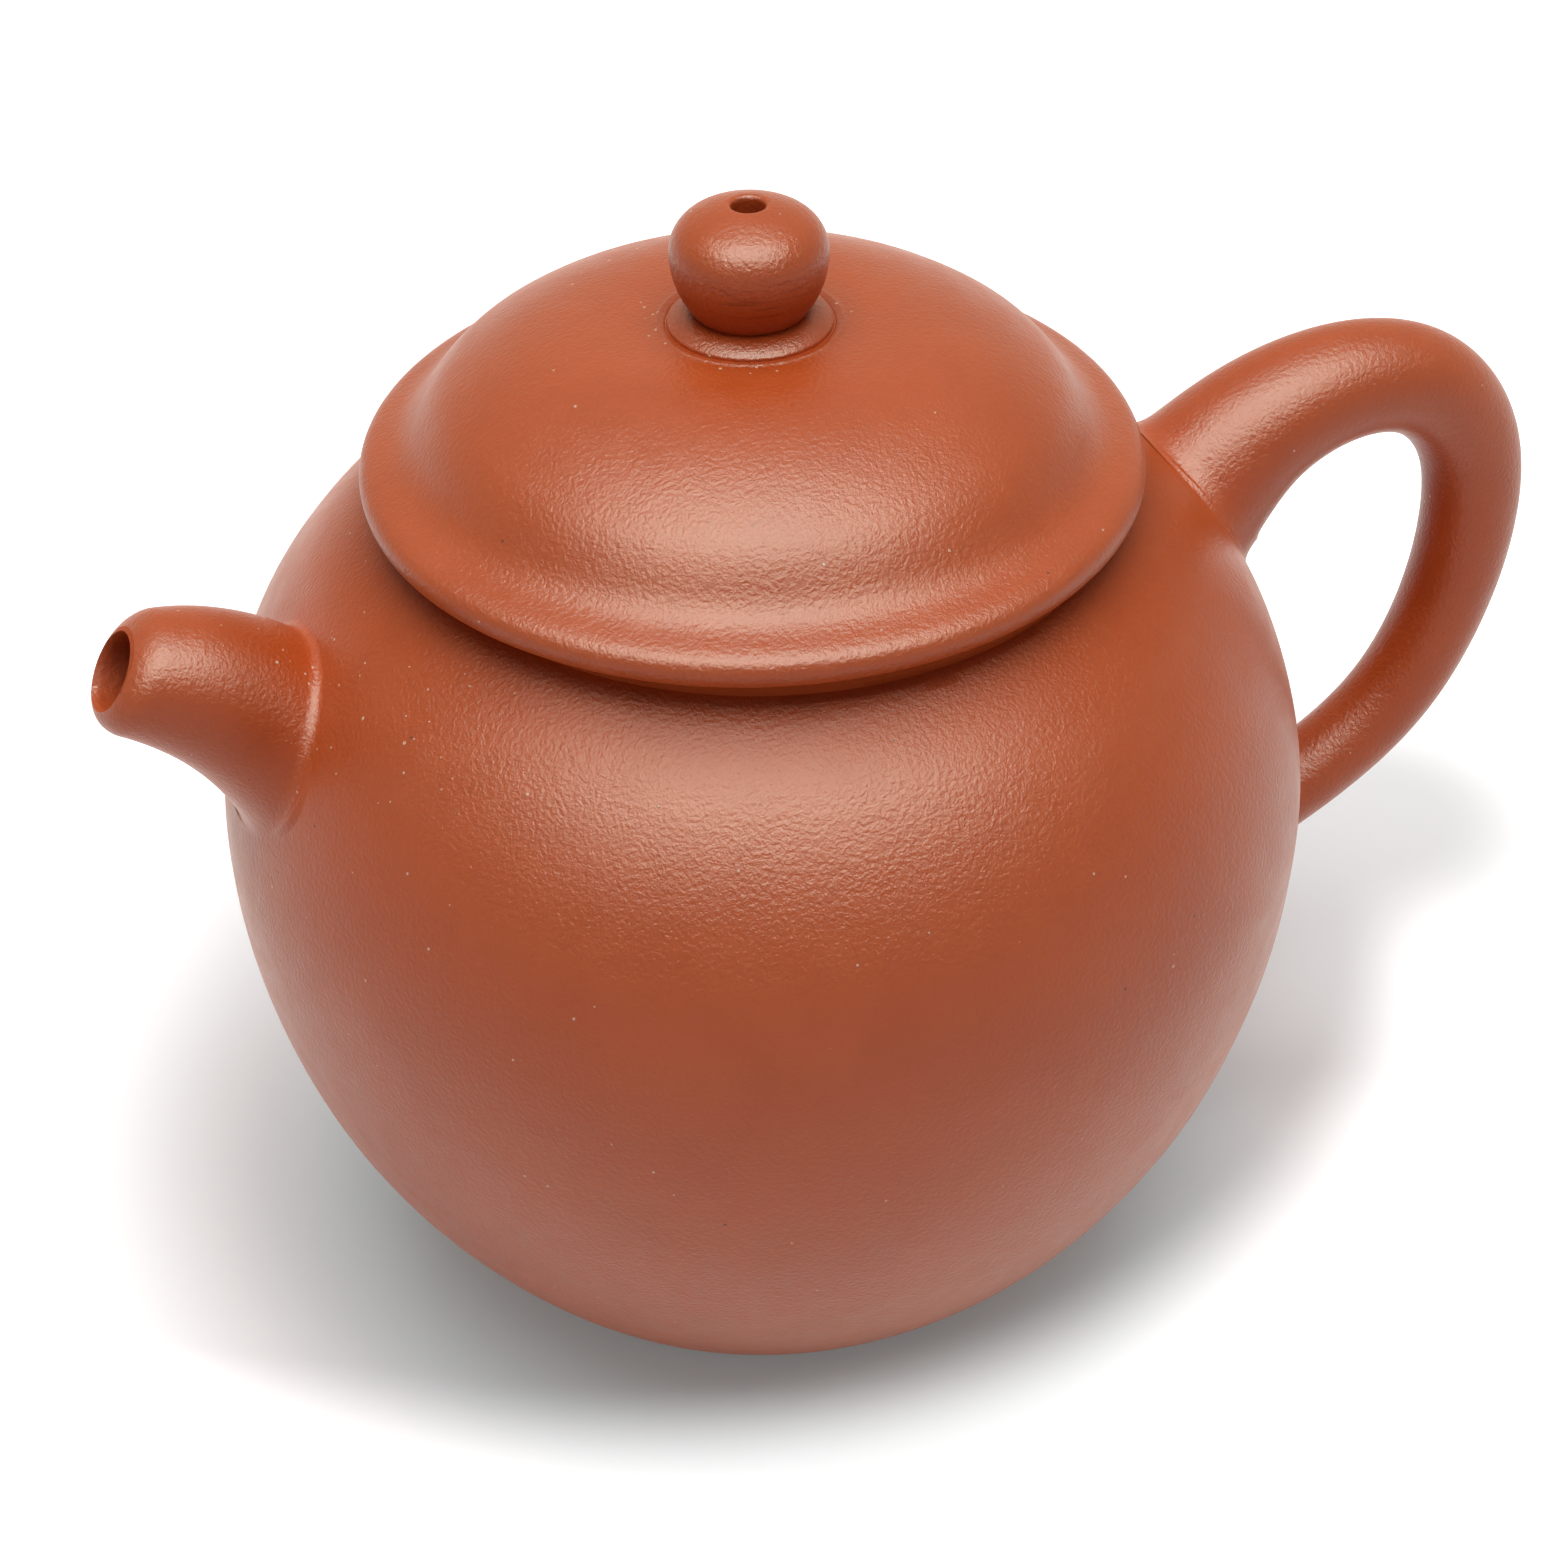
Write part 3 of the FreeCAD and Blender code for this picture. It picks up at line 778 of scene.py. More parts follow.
@dataclass
class LutedTube:
    """Round rod or tube whose surface runs out on the outside of the pot."""

    spokes: int = 144
    tries: int = 40
    line_points: int = 160

    def surface(self, share: np.ndarray, angle: np.ndarray) -> np.ndarray:
        """Give places on the tube for shares of its length and angles round it."""
        raise NotImplementedError

    def seam(self, inner: float, outer: float, angle: np.ndarray, sink: float = 0.05) -> np.ndarray:
        """Find where each line along the tube meets the pot.

        Args:
            inner: Share that lies inside the pot.
            outer: Share that lies outside it.
            angle: Angles of the lines.
            sink: Depth below the pot's outside that the seam is laid at.

        Returns:
            Share of the tube's length for each angle.
        """
        low, high = np.full_like(angle, inner), np.full_like(angle, outer)
        for _ in range(self.tries):
            middle = (low + high) / 2
            within = GLOBE.outside(self.surface(middle, angle)) < -sink
            low, high = np.where(within, middle, low), np.where(within, high, middle)
        return (low + high) / 2

    def luted_root(self, root: np.ndarray, far: np.ndarray, angle: np.ndarray,
                   lute: Lute) -> tuple[np.ndarray, np.ndarray]:
        """Lay the seam of slip at a root.

        Args:
            root: Share of each line at which it meets the pot.
            far: Share towards which each line runs.
            angle: Angles of the lines.
            lute: Seam to lay.

        Returns:
            Rows of the seam from the pot to the tube, and the shares at which the tube goes on.
        """
        steps = np.linspace(0, 1, self.line_points)[:, None]
        share = root + (far - root) * steps
        line = self.surface(share, np.broadcast_to(angle, share.shape))
        length = np.concatenate([np.zeros((1, len(angle))),
                                 np.cumsum(np.linalg.norm(np.diff(line, axis=0), axis=-1), axis=0)])
        onward = np.array([np.interp(lute.on_tube, length[:, k], share[:, k]) for k in range(len(angle))])
        corner, end = line[0], self.surface(onward, angle)
        normal = GLOBE.normal(corner)
        away = corner - corner.mean(axis=0)
        away -= normal * (away * normal).sum(axis=-1, keepdims=True)
        away /= np.linalg.norm(away, axis=-1, keepdims=True)
        reach = lute.on_pot + lute.around(angle, lute.wider)
        start = GLOBE.onto(corner + away * reach[:, None], lute.sink)
        turn = np.linspace(0, 1, lute.rows)[:, None, None]
        swell = bump(turn, lute.crest, lute.spread) * lute.around(angle, lute.ridges)[None, :, None]
        return rounded(start, corner, end, turn) + normal * swell, onward


@dataclass
class Spout(LutedTube):
    """Short upturned spout: a bent, tapering tube that spreads at its root."""

    reach: float = 46.65
    height: float = 60.88
    bend: float = 15.5
    tip_slope: float = 11.8
    root_slope: float = 54.1
    mouth_tilt: float = 33.0
    root_tilt: float = 26.0
    tip_radius: float = 4.15
    root_radius: float = 6.35
    flare: float = 0.3
    flare_start: float = 0.5
    bore_tip: float = 2.65
    bore_root: float = 4.4
    bore_start: float = 0.0425
    bore_end: float = 1.18
    lip: float = 2.0
    lip_share: float = 0.17
    lip_turn: float = 70.0
    lip_points: int = 16
    root_search: Pair = (1.5, 0.3)
    rows: int = 80
    lute: Lute = Lute(0.9, 1.0, ridges=((194.0, 19.0, 0.26), (0.0, 40.0, 0.2), (276.0, 14.0, 0.16)),
                      wider=((190.0, 26.0, 1.4),), crest=0.3, spread=0.11)

    def frame_at(self, share: np.ndarray) -> tuple[np.ndarray, np.ndarray, np.ndarray]:
        """Give the centre, the way out and the upward way of the tube's section.

        Args:
            share: Shares of the length, from 0 at the tip.

        Returns:
            Three arrays of places and ways.
        """
        slope = np.radians(self.tip_slope + share * (self.root_slope - self.tip_slope))
        first = math.radians(self.tip_slope)
        tilt = np.radians(self.mouth_tilt + share * (self.root_tilt - self.mouth_tilt))
        level = np.zeros_like(slope)
        centre = np.stack([-self.reach - self.bend * (math.sin(first) - np.sin(slope)), level,
                           self.height + self.bend * (np.cos(slope) - math.cos(first))], axis=-1)
        out = np.stack([-np.cos(tilt), level, np.sin(tilt)], axis=-1)
        upward = np.stack([np.sin(tilt), level, np.cos(tilt)], axis=-1)
        return centre, out, upward

    def radius(self, share: np.ndarray, bore: bool) -> np.ndarray:
        """Give the radius of the outside or of the bore at shares of the length."""
        if bore:
            return self.bore_tip + (self.bore_root - self.bore_tip) * share
        spread = np.maximum(0, (share - self.flare_start) / (1 - self.flare_start)) ** 2
        return self.tip_radius + (self.root_radius - self.tip_radius) * share + self.flare * spread

    def surface(self, share: np.ndarray, angle: np.ndarray, bore: bool = False) -> np.ndarray:
        """Give places on the outside or in the bore for shares and angles."""
        return self.around(share, angle, self.radius(share, bore))

    def around(self, share: np.ndarray, angle: np.ndarray, radius: np.ndarray) -> np.ndarray:
        """Give places round the tube's middle line for shares, angles and distances from that line."""
        centre, _, upward = self.frame_at(share)
        side = np.cos(angle)[..., None] * np.array((0.0, 1.0, 0.0)) + np.sin(angle)[..., None] * upward
        return centre + radius[..., None] * side

    def build(self) -> bpy.types.Object:
        """Make the spout's mesh, from its luted seam over the lip and back through the bore."""
        angle = full_turn(self.spokes)
        root = self.seam(*self.root_search, angle)
        seam, onward = self.luted_root(root, np.full_like(root, self.lip_share), angle, self.lute)
        steps = np.linspace(0, 1, self.rows)[1:, None]
        share = onward * (1 - steps) + self.lip_share * steps
        skin = self.surface(share, np.broadcast_to(angle, share.shape))
        inward = np.linspace(self.bore_start, self.bore_end, self.rows // 2)[:, None] + 0 * angle
        bore = self.surface(inward, np.broadcast_to(angle, inward.shape), bore=True)
        tube = np.concatenate([seam, skin, self.lip_rows(angle), bore])
        return grid_piece("spout", HAND.shift(tube), ring=True)

    def lip_rows(self, angle: np.ndarray) -> np.ndarray:
        """Round the lip from the outside to the bore and return its rows of places."""
        turn = np.radians(np.linspace(0, self.lip_turn, self.lip_points))[1:, None] + 0 * angle
        share = self.lip_share * (1 - np.sin(turn))
        return self.around(share, angle, self.radius(share, False) - self.lip * (1 - np.cos(turn)))


@dataclass
class Handle(LutedTube):
    """Ear handle: a round rod through a few places, given as reach, height and radius."""

    places: tuple[Triple, ...] = (
        (34.94, 56.9, 6.2), (39.58, 60.86, 5.2), (53.31, 62.13, 4.2), (58.91, 55.93, 3.95),
        (60.1, 48.96, 3.8), (54.71, 32.09, 3.41), (36.99, 21.27, 3.5))
    rows: int = 240
    top_lute: Lute = Lute(0.8, 2.0, ((150.0, 34.0, 0.3), (340.0, 45.0, 0.2)))
    low_lute: Lute = Lute(0.6, 1.4, ((90.0, 90.0, 0.12), (270.0, 90.0, 0.12)))
    top_search: Pair = (-0.09, 0.3)
    low_search: Pair = (1.09, 0.7)
    thinnest: float = 2.5
    thickest: float = 7.2
    nub: tuple[Triple, ...] = ((270.0, 60.0, 0.55),)
    nub_away: float = 1.7
    nub_width: float = 0.8

    def __post_init__(self) -> None:
        """Measure the rod's length from place to place, and find where its nub sits."""
        self.given = np.array(self.places)
        apart = np.linalg.norm(np.diff(self.given[:, :2], axis=0), axis=1)
        self.length = apart.sum()
        self.knots = np.concatenate([[0], np.cumsum(apart)]) / self.length
        self.nub_share = -1.0
        underside = self.seam(*self.top_search, np.array([1.5 * math.pi]))
        self.nub_share = float(underside[0]) + self.nub_away / self.length

    def surface(self, share: np.ndarray, angle: np.ndarray) -> np.ndarray:
        """Give places on the rod for shares of its length and angles round it."""
        small = 1e-4
        here, ahead = (smooth_through(self.knots, self.given, share + move) for move in (-small, small))
        way = ahead[..., :2] - here[..., :2]
        way /= np.linalg.norm(way, axis=-1, keepdims=True)
        middle = (here + ahead) / 2
        along = (share - self.nub_share) * self.length
        swell = Lute.around(angle, self.nub) * bump(along, 0, self.nub_width)
        radius = np.clip(middle[..., 2], self.thinnest, self.thickest) + swell
        across, rise = np.cos(angle) * radius, np.sin(angle) * radius
        reach, height = middle[..., 0] - way[..., 1] * rise, middle[..., 1] + way[..., 0] * rise
        return np.stack([reach, across, height], axis=-1)

    def build(self) -> bpy.types.Object:
        """Make the rod's mesh between its two luted seams, with its ends closed inside the wall."""
        angle = full_turn(self.spokes)
        first, last = self.seam(*self.top_search, angle), self.seam(*self.low_search, angle)
        middle = np.full_like(first, 0.5)
        top, start = self.luted_root(first, middle, angle, self.top_lute)
        low, end = self.luted_root(last, middle, angle, self.low_lute)
        steps = np.linspace(0, 1, self.rows)[1:-1, None]
        share = start * (1 - steps) + end * steps
        skin = self.surface(share, np.broadcast_to(angle, share.shape))
        rod = np.concatenate([top, skin, low[::-1]])
        caps = [np.broadcast_to(row.mean(axis=0), row.shape)[None] for row in (rod[0], rod[-1])]
        return grid_piece("handle", HAND.shift(np.concatenate([caps[0], rod, caps[1]])), ring=False)


@dataclass
class Pot:
    """The pot: base, paddled wall, shoulder, neck ring, spout with its strainer, and handle."""

    dressing: Dressing
    foot_round: float = 2.0
    foot_ring: float = 4.5
    foot_hollow: float = 1.6
    foot_margin: float = 0.02
    seam_margin: float = 0.05
    hollow_round: float = 0.6
    mouth_radius: float = 22.0
    mouth_round: float = 0.3
    neck_rise: float = 0.8
    neck_round: float = 0.45
    drill_sides: int = 64
    drill_depth: float = 16.0
    drill_setback: float = 2.0
    bore_shares: Pair = (0.08, 1.2)
    bore_points: int = 60
    bore_margin: float = 0.25
    dip: float = 0.65
    dip_width: float = 6.5
    sag: float = 0.45
    sag_width: float = 11.0
    # Painted shade on the shoulder round the neck, where the lid's rim shades it; it also dulls the gloss
    # there.
    darkening: float = 0.26
    shade_width: float = 6.5
    shade_fall: float = 0.8
    # Painted shade on top of the spout near its root, where the root is shaded; it also dulls the gloss
    # there.
    spout_shade: float = 0.15
    spout_shade_reach: float = -37.5
    spout_shade_width: float = 2.5
    spout_shade_heights: Pair = (53.0, 57.0)
    grit_heaps: tuple[tuple[Place, Triple, float], ...] = (
        ((-34.0, -3.0, 61.6), (2.6, 4.5, 2.2), 1.0), ((-28.5, -15.0, 59.0), (6.0, 9.0, 5.0), 0.3))
    spokes: int = 288
    spout: Spout = field(default_factory=Spout)
    handle: Handle = field(default_factory=Handle)

    def build(self) -> None:
        """Make every piece of the pot and hand it over."""
        makers = {"base_disc": self.base, "body_wall": self.wall, "shoulder_disc": self.shoulder,
                  "neck_ring": self.neck, "spout": self.spout.build, "handle": self.handle.build}
        for node, make in makers.items():
            piece = make()
            self.finish_skin(piece, node)
            self.dressing.hand_over(piece, Body.POT, node)
        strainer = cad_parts["strainer"]
        strainer.data.materials.clear()
        strainer.data.materials.append(self.dressing.skins[Skin.INSIDE.value])
        LOG.info("strainer: keeps its CAD mesh")

    def finish_skin(self, piece: bpy.types.Object, node: str) -> None:
        """Split a piece between burnished and plain clay and mark where painted shade and grit lie.

        Args:
            piece: Mesh object.
            node: CAD node that it stands for.
        """
        if node in ("body_wall", "shoulder_disc", "neck_ring"):
            give_inside(piece, lambda at: GLOBE.outside(at) < -0.5 * GLOBE.wall)
        elif node == "base_disc":
            give_inside(piece, self.off_show)
        elif node == "spout":
            give_inside(piece, self.in_bore)
            paint(piece, "painted_shade", self.shade_on_spout)
        if node in ("shoulder_disc", "neck_ring"):
            paint(piece, "painted_shade", self.shade_round_neck)
        paint(piece, "grit", self.grit)

    def off_show(self, at: np.ndarray) -> np.ndarray:
        """Tell whether places on the base lie inside the pot or under it."""
        flat = (at[:, 2] > GLOBE.base_seam - self.seam_margin) | (at[:, 2] < self.foot_margin)
        return flat | (from_axis(at) < GLOBE.foot_radius - self.foot_ring)

    def shade_round_neck(self, at: np.ndarray) -> np.ndarray:
        """Tell how much painted shade of the lid's rim lies at places round the neck."""
        near = 1 - (from_axis(at) - GLOBE.neck_radius) / self.shade_width
        return self.darkening * np.clip(near, 0, 1) ** self.shade_fall

    def shade_on_spout(self, at: np.ndarray) -> np.ndarray:
        """Tell how much painted shade lies at places on top of the spout, near its root."""
        low, high = self.spout_shade_heights
        upper = np.clip((at[:, 2] - low) / (high - low), 0, 1)
        return self.spout_shade * bump(at[:, 0], self.spout_shade_reach, self.spout_shade_width) * upper

    def grit(self, at: np.ndarray) -> np.ndarray:
        """Tell how much grit lies at places, in heaps round the spout's root."""
        return sum(share * np.exp(-np.linalg.norm((at - middle) / reach, axis=1) ** 2)
                   for middle, reach, share in self.grit_heaps)

    def in_bore(self, at: np.ndarray) -> np.ndarray:
        """Tell whether places lie in the spout's bore."""
        shares = np.linspace(*self.bore_shares, self.bore_points)
        centres, _, _ = self.spout.frame_at(shares)
        apart = np.linalg.norm(at[:, None, :] - centres[None], axis=2)
        nearest = apart.argmin(axis=1)
        bore = self.spout.radius(shares, True)[nearest]
        return apart.min(axis=1) < bore + self.bore_margin

    def base(self) -> bpy.types.Object:
        """Make the slab that closes the bottom, pressed in under the middle."""
        inner = GLOBE.foot_radius - self.foot_ring
        hollow = (inner ** 2 + self.foot_hollow ** 2) / (2 * self.foot_hollow)
        edge = GLOBE.run(0, GLOBE.base_seam)
        outline = Outline(0, self.foot_hollow).arc(inner, 0, hollow, Turn.RIGHT, self.hollow_round)
        outline.line(GLOBE.foot_radius, 0, self.foot_round).along(edge).line(0, GLOBE.base_seam)
        grid = turned(outline.points(closed=False), self.spokes)
        return grid_piece("base_disc", HAND.shift(grid), ring=False)

    def wall(self) -> bpy.types.Object:
        """Make the paddled wall, pierced behind the spout."""
        low, high = GLOBE.base_seam, GLOBE.shoulder_seam
        outside, inside = GLOBE.run(low, high), GLOBE.run(high, low, GLOBE.wall)
        outline = Outline(*outside[0]).along(outside).line(*inside[0]).along(inside)
        wall = turned_piece("body_wall", outline, self.spokes, self.settle)
        self.pierce(wall)
        return wall

    def settle(self, grid: np.ndarray) -> np.ndarray:
        """Let the shoulder sink a little at the front and back, and make it uneven as handwork is.

        Args:
            grid: Places in millimetres.

        Returns:
            The places after they have sunk.
        """
        away = from_axis(grid)
        near_neck = eased(1 - (away - GLOBE.neck_radius) / self.sag_width)
        share = near_neck * (grid[..., 2] > GLOBE.belly_height)
        sunk = grid.copy()
        sunk[..., 2] -= self.sag * share * (grid[..., 1] / np.maximum(away, 1.0)) ** 2
        return HAND.shift(sunk)

    def pierce(self, wall: bpy.types.Object) -> None:
        """Cut the hole that the tea runs through to the spout.

        Args:
            wall: Wall of the pot.
        """
        centre, out, _ = self.spout.frame_at(np.array(1.0))
        work = bmesh.new()
        radius = self.spout.bore_root * MM
        bmesh.ops.create_cone(work, cap_ends=True, segments=self.drill_sides, radius1=radius, radius2=radius,
                              depth=self.drill_depth * MM)
        turn = Vector(out).to_track_quat("Z", "Y").to_matrix().to_4x4()
        work.transform(Matrix.Translation(Vector(centre - out * self.drill_setback) * MM) @ turn)
        drill = placed("drill", bpy.data.meshes.new("drill"))
        work.to_mesh(drill.data)
        work.free()
        cut = wall.modifiers.new("spout_hole", "BOOLEAN")
        cut.object, cut.operation, cut.solver = drill, "DIFFERENCE", "EXACT"
        pierced = bpy.data.meshes.new_from_object(wall.evaluated_get(bpy.context.evaluated_depsgraph_get()))
        wall.modifiers.clear()
        wall.data = pierced
        wall.data.set_sharp_from_angle(angle=CREASE)
        bpy.data.objects.remove(drill)

    def shoulder(self) -> bpy.types.Object:
        """Make the disc that closes the top of the wall."""
        outside = GLOBE.run(GLOBE.shoulder_seam, GLOBE.shoulder_top)
        outside[:, 1] -= self.dip * eased(1 - (outside[:, 0] - GLOBE.neck_radius) / self.dip_width)
        inside = GLOBE.run(GLOBE.neck_bottom, GLOBE.shoulder_seam, GLOBE.wall)
        outline = Outline(*outside[0]).along(outside).line(*inside[0]).along(inside)
        return turned_piece("shoulder_disc", outline, self.spokes, self.settle)

    def neck(self) -> bpy.types.Object:
        """Make the ring that lines the mouth and carries the lid."""
        top = GLOBE.shoulder_top + self.neck_rise
        outline = Outline(self.mouth_radius, GLOBE.neck_bottom, self.mouth_round)
        outline.line(GLOBE.neck_radius, GLOBE.neck_bottom)
        outline.line(GLOBE.neck_radius, top, self.neck_round).line(self.mouth_radius, top, self.neck_round)
        return turned_piece("neck_ring", outline, self.spokes)


@dataclass
class Lid:
    """The lid: dome, flared rim, flange, and the knob on its collar."""

    dressing: Dressing
    seat: float = 66.7
    rest: Pair = (-0.33, 0.12)
    lip_radius: float = 27.5
    cove_width: float = 4.36
    brim: tuple[Pair, ...] = (
        (27.25, 0.0), (27.5, 1.0), (27.25, 1.7), (26.6, 2.2), (25.7, 2.55), (24.7, 3.02), (23.75, 3.85),
        (22.95, 4.95), (22.1, 6.1))
    brim_round: float = 0.28
    brim_crest: int = 3
    dome_rise: float = 11.35
    dome_bend: float = 19.5
    dome_slope: float = 38.0
    dome_steps: tuple[float, ...] = (0.0, 4.0, 8.0, 12.0)
    edge_bend: float = 8.0
    edge_slope: float = 62.0
    seam_steps: tuple[float, ...] = (-0.06, -0.02, 0.0, 0.02, 0.06)
    seam_slack: float = 1e-4
    flank_points: int = 90
    search_points: int = 400
    wall: float = 3.0
    inside_margin: float = 0.1
    flange_depth: float = 7.2
    flange_outer: float = 21.7
    flange_inner: float = 19.2
    flange_round: float = 0.7
    collar_radius: float = 5.72
    collar_height: float = 0.65
    collar_edge: float = 0.4
    collar_swell: float = 0.45
    collar_bend: float = 3.0
    collar_round: float = 0.12
    slip_radius: float = 6.3
    slip_height: float = 0.12
    slip_spread: float = 0.2
    slip_reach: Pair = (1.2, -0.36)
    slip_points: int = 36
    grit_share: float = 0.9
    grit_radius: float = 6.7
    grit_spread: float = 0.8
    groove_depth: float = 0.25
    groove_rise: float = 0.15
    groove_gap: float = 0.1
    groove_round: float = 0.45
    knob_radius: float = 5.42
    knob_stem: float = 3.1
    knob_heel: float = 4.25
    knob_heel_rise: float = 1.0
    knob_heel_bend: float = 2.25
    knob_low: float = 4.83
    knob_high: float = 3.58
    knob_shoulder: float = 2.92
    heel_round: float = 0.3
    # Painted shade on the knob from its waist down to its foot, where the knob shades itself.
    knob_shade: float = 0.55
    knob_shade_margin: float = 0.6
    streak_share: float = 0.5
    streak_rise: float = 1.5
    streak_fade: float = 2.5
    vent_radius: float = 1.15
    vent_round: float = 0.45
    vent_low_round: float = 0.3
    spokes: int = 256
    knob_spokes: int = 160

    def __post_init__(self) -> None:
        """Work out the heights and radii that follow from the sizes."""
        steep, edge = math.radians(self.dome_slope), math.radians(self.edge_slope)
        self.top = self.seat + self.dome_rise
        self.axis = self.top - self.dome_bend
        self.edge = self.lip_radius - self.cove_width
        bend_change = self.edge - self.edge_bend * (math.sin(edge) - math.sin(steep))
        self.crown_flat = bend_change - self.dome_bend * math.sin(steep)
        self.collar_seat = self.top - self.groove_depth
        self.collar_top = self.collar_seat + self.collar_height

    def skin(self) -> np.ndarray:
        """Draw the whole top of the lid from the lip's lower edge to the slip round the collar."""
        slope = np.radians(self.dome_slope - np.array(self.dome_steps))
        way = np.stack([np.sin(slope), np.cos(slope)], axis=1)
        dome = (self.crown_flat, self.axis) + self.dome_bend * way
        given = np.concatenate([np.array(self.brim) + (0.0, self.seat), dome])
        knots = np.concatenate([[0], np.cumsum(np.linalg.norm(np.diff(given, axis=0), axis=1))])
        at = np.linspace(0, knots[-1], self.search_points)
        at = at[at > knots[self.brim_crest]]
        cut = np.interp(-self.edge, -smooth_through(knots, given, at)[:, 0], at)
        even = np.linspace(0, knots[-1], self.flank_points)
        flank = smooth_through(knots, given, np.sort(np.append(even, cut + np.array(self.seam_steps))))
        radius = np.linspace(*(self.slip_radius + reach for reach in self.slip_reach), self.slip_points)
        slip = self.slip_height * bump(radius, self.slip_radius, self.slip_spread)
        outline = Outline(*flank[0]).along(flank).arc(self.crown_flat, self.top, self.dome_bend, Turn.LEFT)
        outline.line(radius[0], self.top).along(np.stack([radius, self.top + slip], axis=1))
        return outline.points(closed=False)

    def build(self) -> None:
        """Make every piece of the lid and hand it over."""
        makers = {"lid_dome": self.dome, "lid_rim": self.rim, "lid_flange": self.flange,
                  "knob_collar": self.collar, "knob": self.knob}
        for node, make in makers.items():
            piece = make()
            self.finish_skin(piece, node)
            if node != "lid_flange":
                piece.data.transform(Matrix.Translation((self.rest[0] * MM, self.rest[1] * MM, 0)))
            self.dressing.hand_over(piece, Body.LID, node)

    def finish_skin(self, piece: bpy.types.Object, node: str) -> None:
        """Split a piece between burnished and plain clay and mark where painted shade, streaks and grit lie.

        Args:
            piece: Mesh object.
            node: CAD node that it stands for.
        """
        if node in ("lid_dome", "lid_flange"):
            give_inside(piece, lambda at: (at[:, 2] < self.dome_under(from_axis(at)) + self.inside_margin)
                        & (from_axis(at) < self.flange_inner + self.inside_margin))
        if node == "knob":
            paint(piece, "painted_shade", self.shade_under_knob)
            paint(piece, "streak", self.streaks_on_knob)
        else:
            paint(piece, "grit", self.grit)

    def grit(self, at: np.ndarray) -> np.ndarray:
        """Tell how much grit lies at places on the lid, in a ring round the collar."""
        return self.grit_share * bump(from_axis(at), self.grit_radius, self.grit_spread)

    def shade_under_knob(self, at: np.ndarray) -> np.ndarray:
        """Tell how much painted shade lies at places on the knob, from its waist down to its foot."""
        below = self.collar_top + self.knob_low - self.knob_shade_margin - at[:, 2]
        return self.knob_shade * np.clip(below / (self.knob_low - 2 * self.knob_shade_margin), 0, 1)

    def streaks_on_knob(self, at: np.ndarray) -> np.ndarray:
        """Tell how strong the burnishing streaks are at places on the knob."""
        below = self.collar_top + self.knob_low + self.streak_rise - at[:, 2]
        return self.streak_share * np.clip(below / self.streak_fade, 0, 1)

    def dome_under(self, radius: np.ndarray) -> np.ndarray:
        """Give the height of the dome's underside at radii."""
        out = np.maximum(radius - self.crown_flat, 0)
        return self.axis + np.sqrt(np.maximum((self.dome_bend - self.wall) ** 2 - out ** 2, 0))

    def dome(self) -> bpy.types.Object:
        """Make the domed plate with its vent and the seat for the collar."""
        skin = self.skin()
        above = skin[skin[:, 0] <= self.edge + self.seam_slack]
        under = self.top - self.wall
        corner = float(self.dome_under(np.array(self.flange_inner)))
        outline = Outline(self.vent_radius, under, self.vent_low_round).line(self.crown_flat, under)
        outline.arc(self.flange_inner, corner, self.dome_bend - self.wall, Turn.RIGHT)
        outline.line(self.flange_inner, self.seat).line(self.edge, self.seat)
        outline.line(*above[0]).along(above, self.groove_round)
        outline.line(self.collar_radius + self.groove_gap, self.collar_seat + self.groove_rise)
        outline.line(self.vent_radius, self.collar_seat)
        return turned_piece("lid_dome", outline, self.spokes)

    def rim(self) -> bpy.types.Object:
        """Make the flared rim that lies on the neck."""
        skin = self.skin()
        below = skin[skin[:, 0] >= self.edge - self.seam_slack]
        outline = Outline(self.edge, self.seat).line(*below[0], self.brim_round).along(below)
        return turned_piece("lid_rim", outline, self.spokes)

    def flange(self) -> bpy.types.Object:
        """Make the ring under the lid that keeps it in the mouth."""
        low = self.seat - self.flange_depth
        outline = Outline(self.flange_inner, low, self.flange_round)
        outline.line(self.flange_outer, low, self.flange_round)
        outline.line(self.flange_outer, self.seat).line(self.flange_inner, self.seat)
        return turned_piece("lid_flange", outline, self.spokes)

    def collar(self) -> bpy.types.Object:
        """Make the thin disc between the dome and the knob."""
        outline = Outline(self.vent_radius, self.collar_seat).line(self.collar_radius, self.collar_seat)
        outline.line(self.collar_radius, self.collar_seat + self.collar_edge, self.collar_round)
        top = self.collar_top + self.collar_swell
        outline.arc(self.knob_heel, top, self.collar_bend, Turn.LEFT, self.heel_round)
        outline.line(self.vent_radius, top)
        return turned_piece("knob_collar", outline, self.knob_spokes, np.copy)

    def knob(self) -> bpy.types.Object:
        """Make the flattened pearl with the vent down its middle."""
        waist = self.collar_top + self.knob_low
        heel = (self.knob_heel, self.collar_top + self.knob_heel_rise)
        taper = self.knob_radius - self.knob_heel
        flank = (taper ** 2 + (waist - heel[1]) ** 2) / (2 * taper)
        shoulder = self.knob_shoulder
        inset = self.knob_radius - shoulder
        crown = (inset ** 2 + self.knob_high ** 2 - shoulder ** 2) / (2 * (self.knob_high - shoulder))
        axis = waist + self.knob_high - crown
        share = crown / (crown - shoulder)
        vent_top = axis + math.sqrt(crown ** 2 - self.vent_radius ** 2)
        outline = Outline(self.vent_radius, self.collar_top).line(self.knob_stem, self.collar_top)
        outline.arc(*heel, self.knob_heel_bend, Turn.LEFT, self.heel_round)
        outline.arc(self.knob_radius, waist, flank, Turn.LEFT)
        outline.arc(share * inset, axis + share * (waist - axis), shoulder, Turn.LEFT)
        outline.arc(self.vent_radius, vent_top, crown, Turn.LEFT, self.vent_round)
        return turned_piece("knob", outline, self.knob_spokes, np.copy)


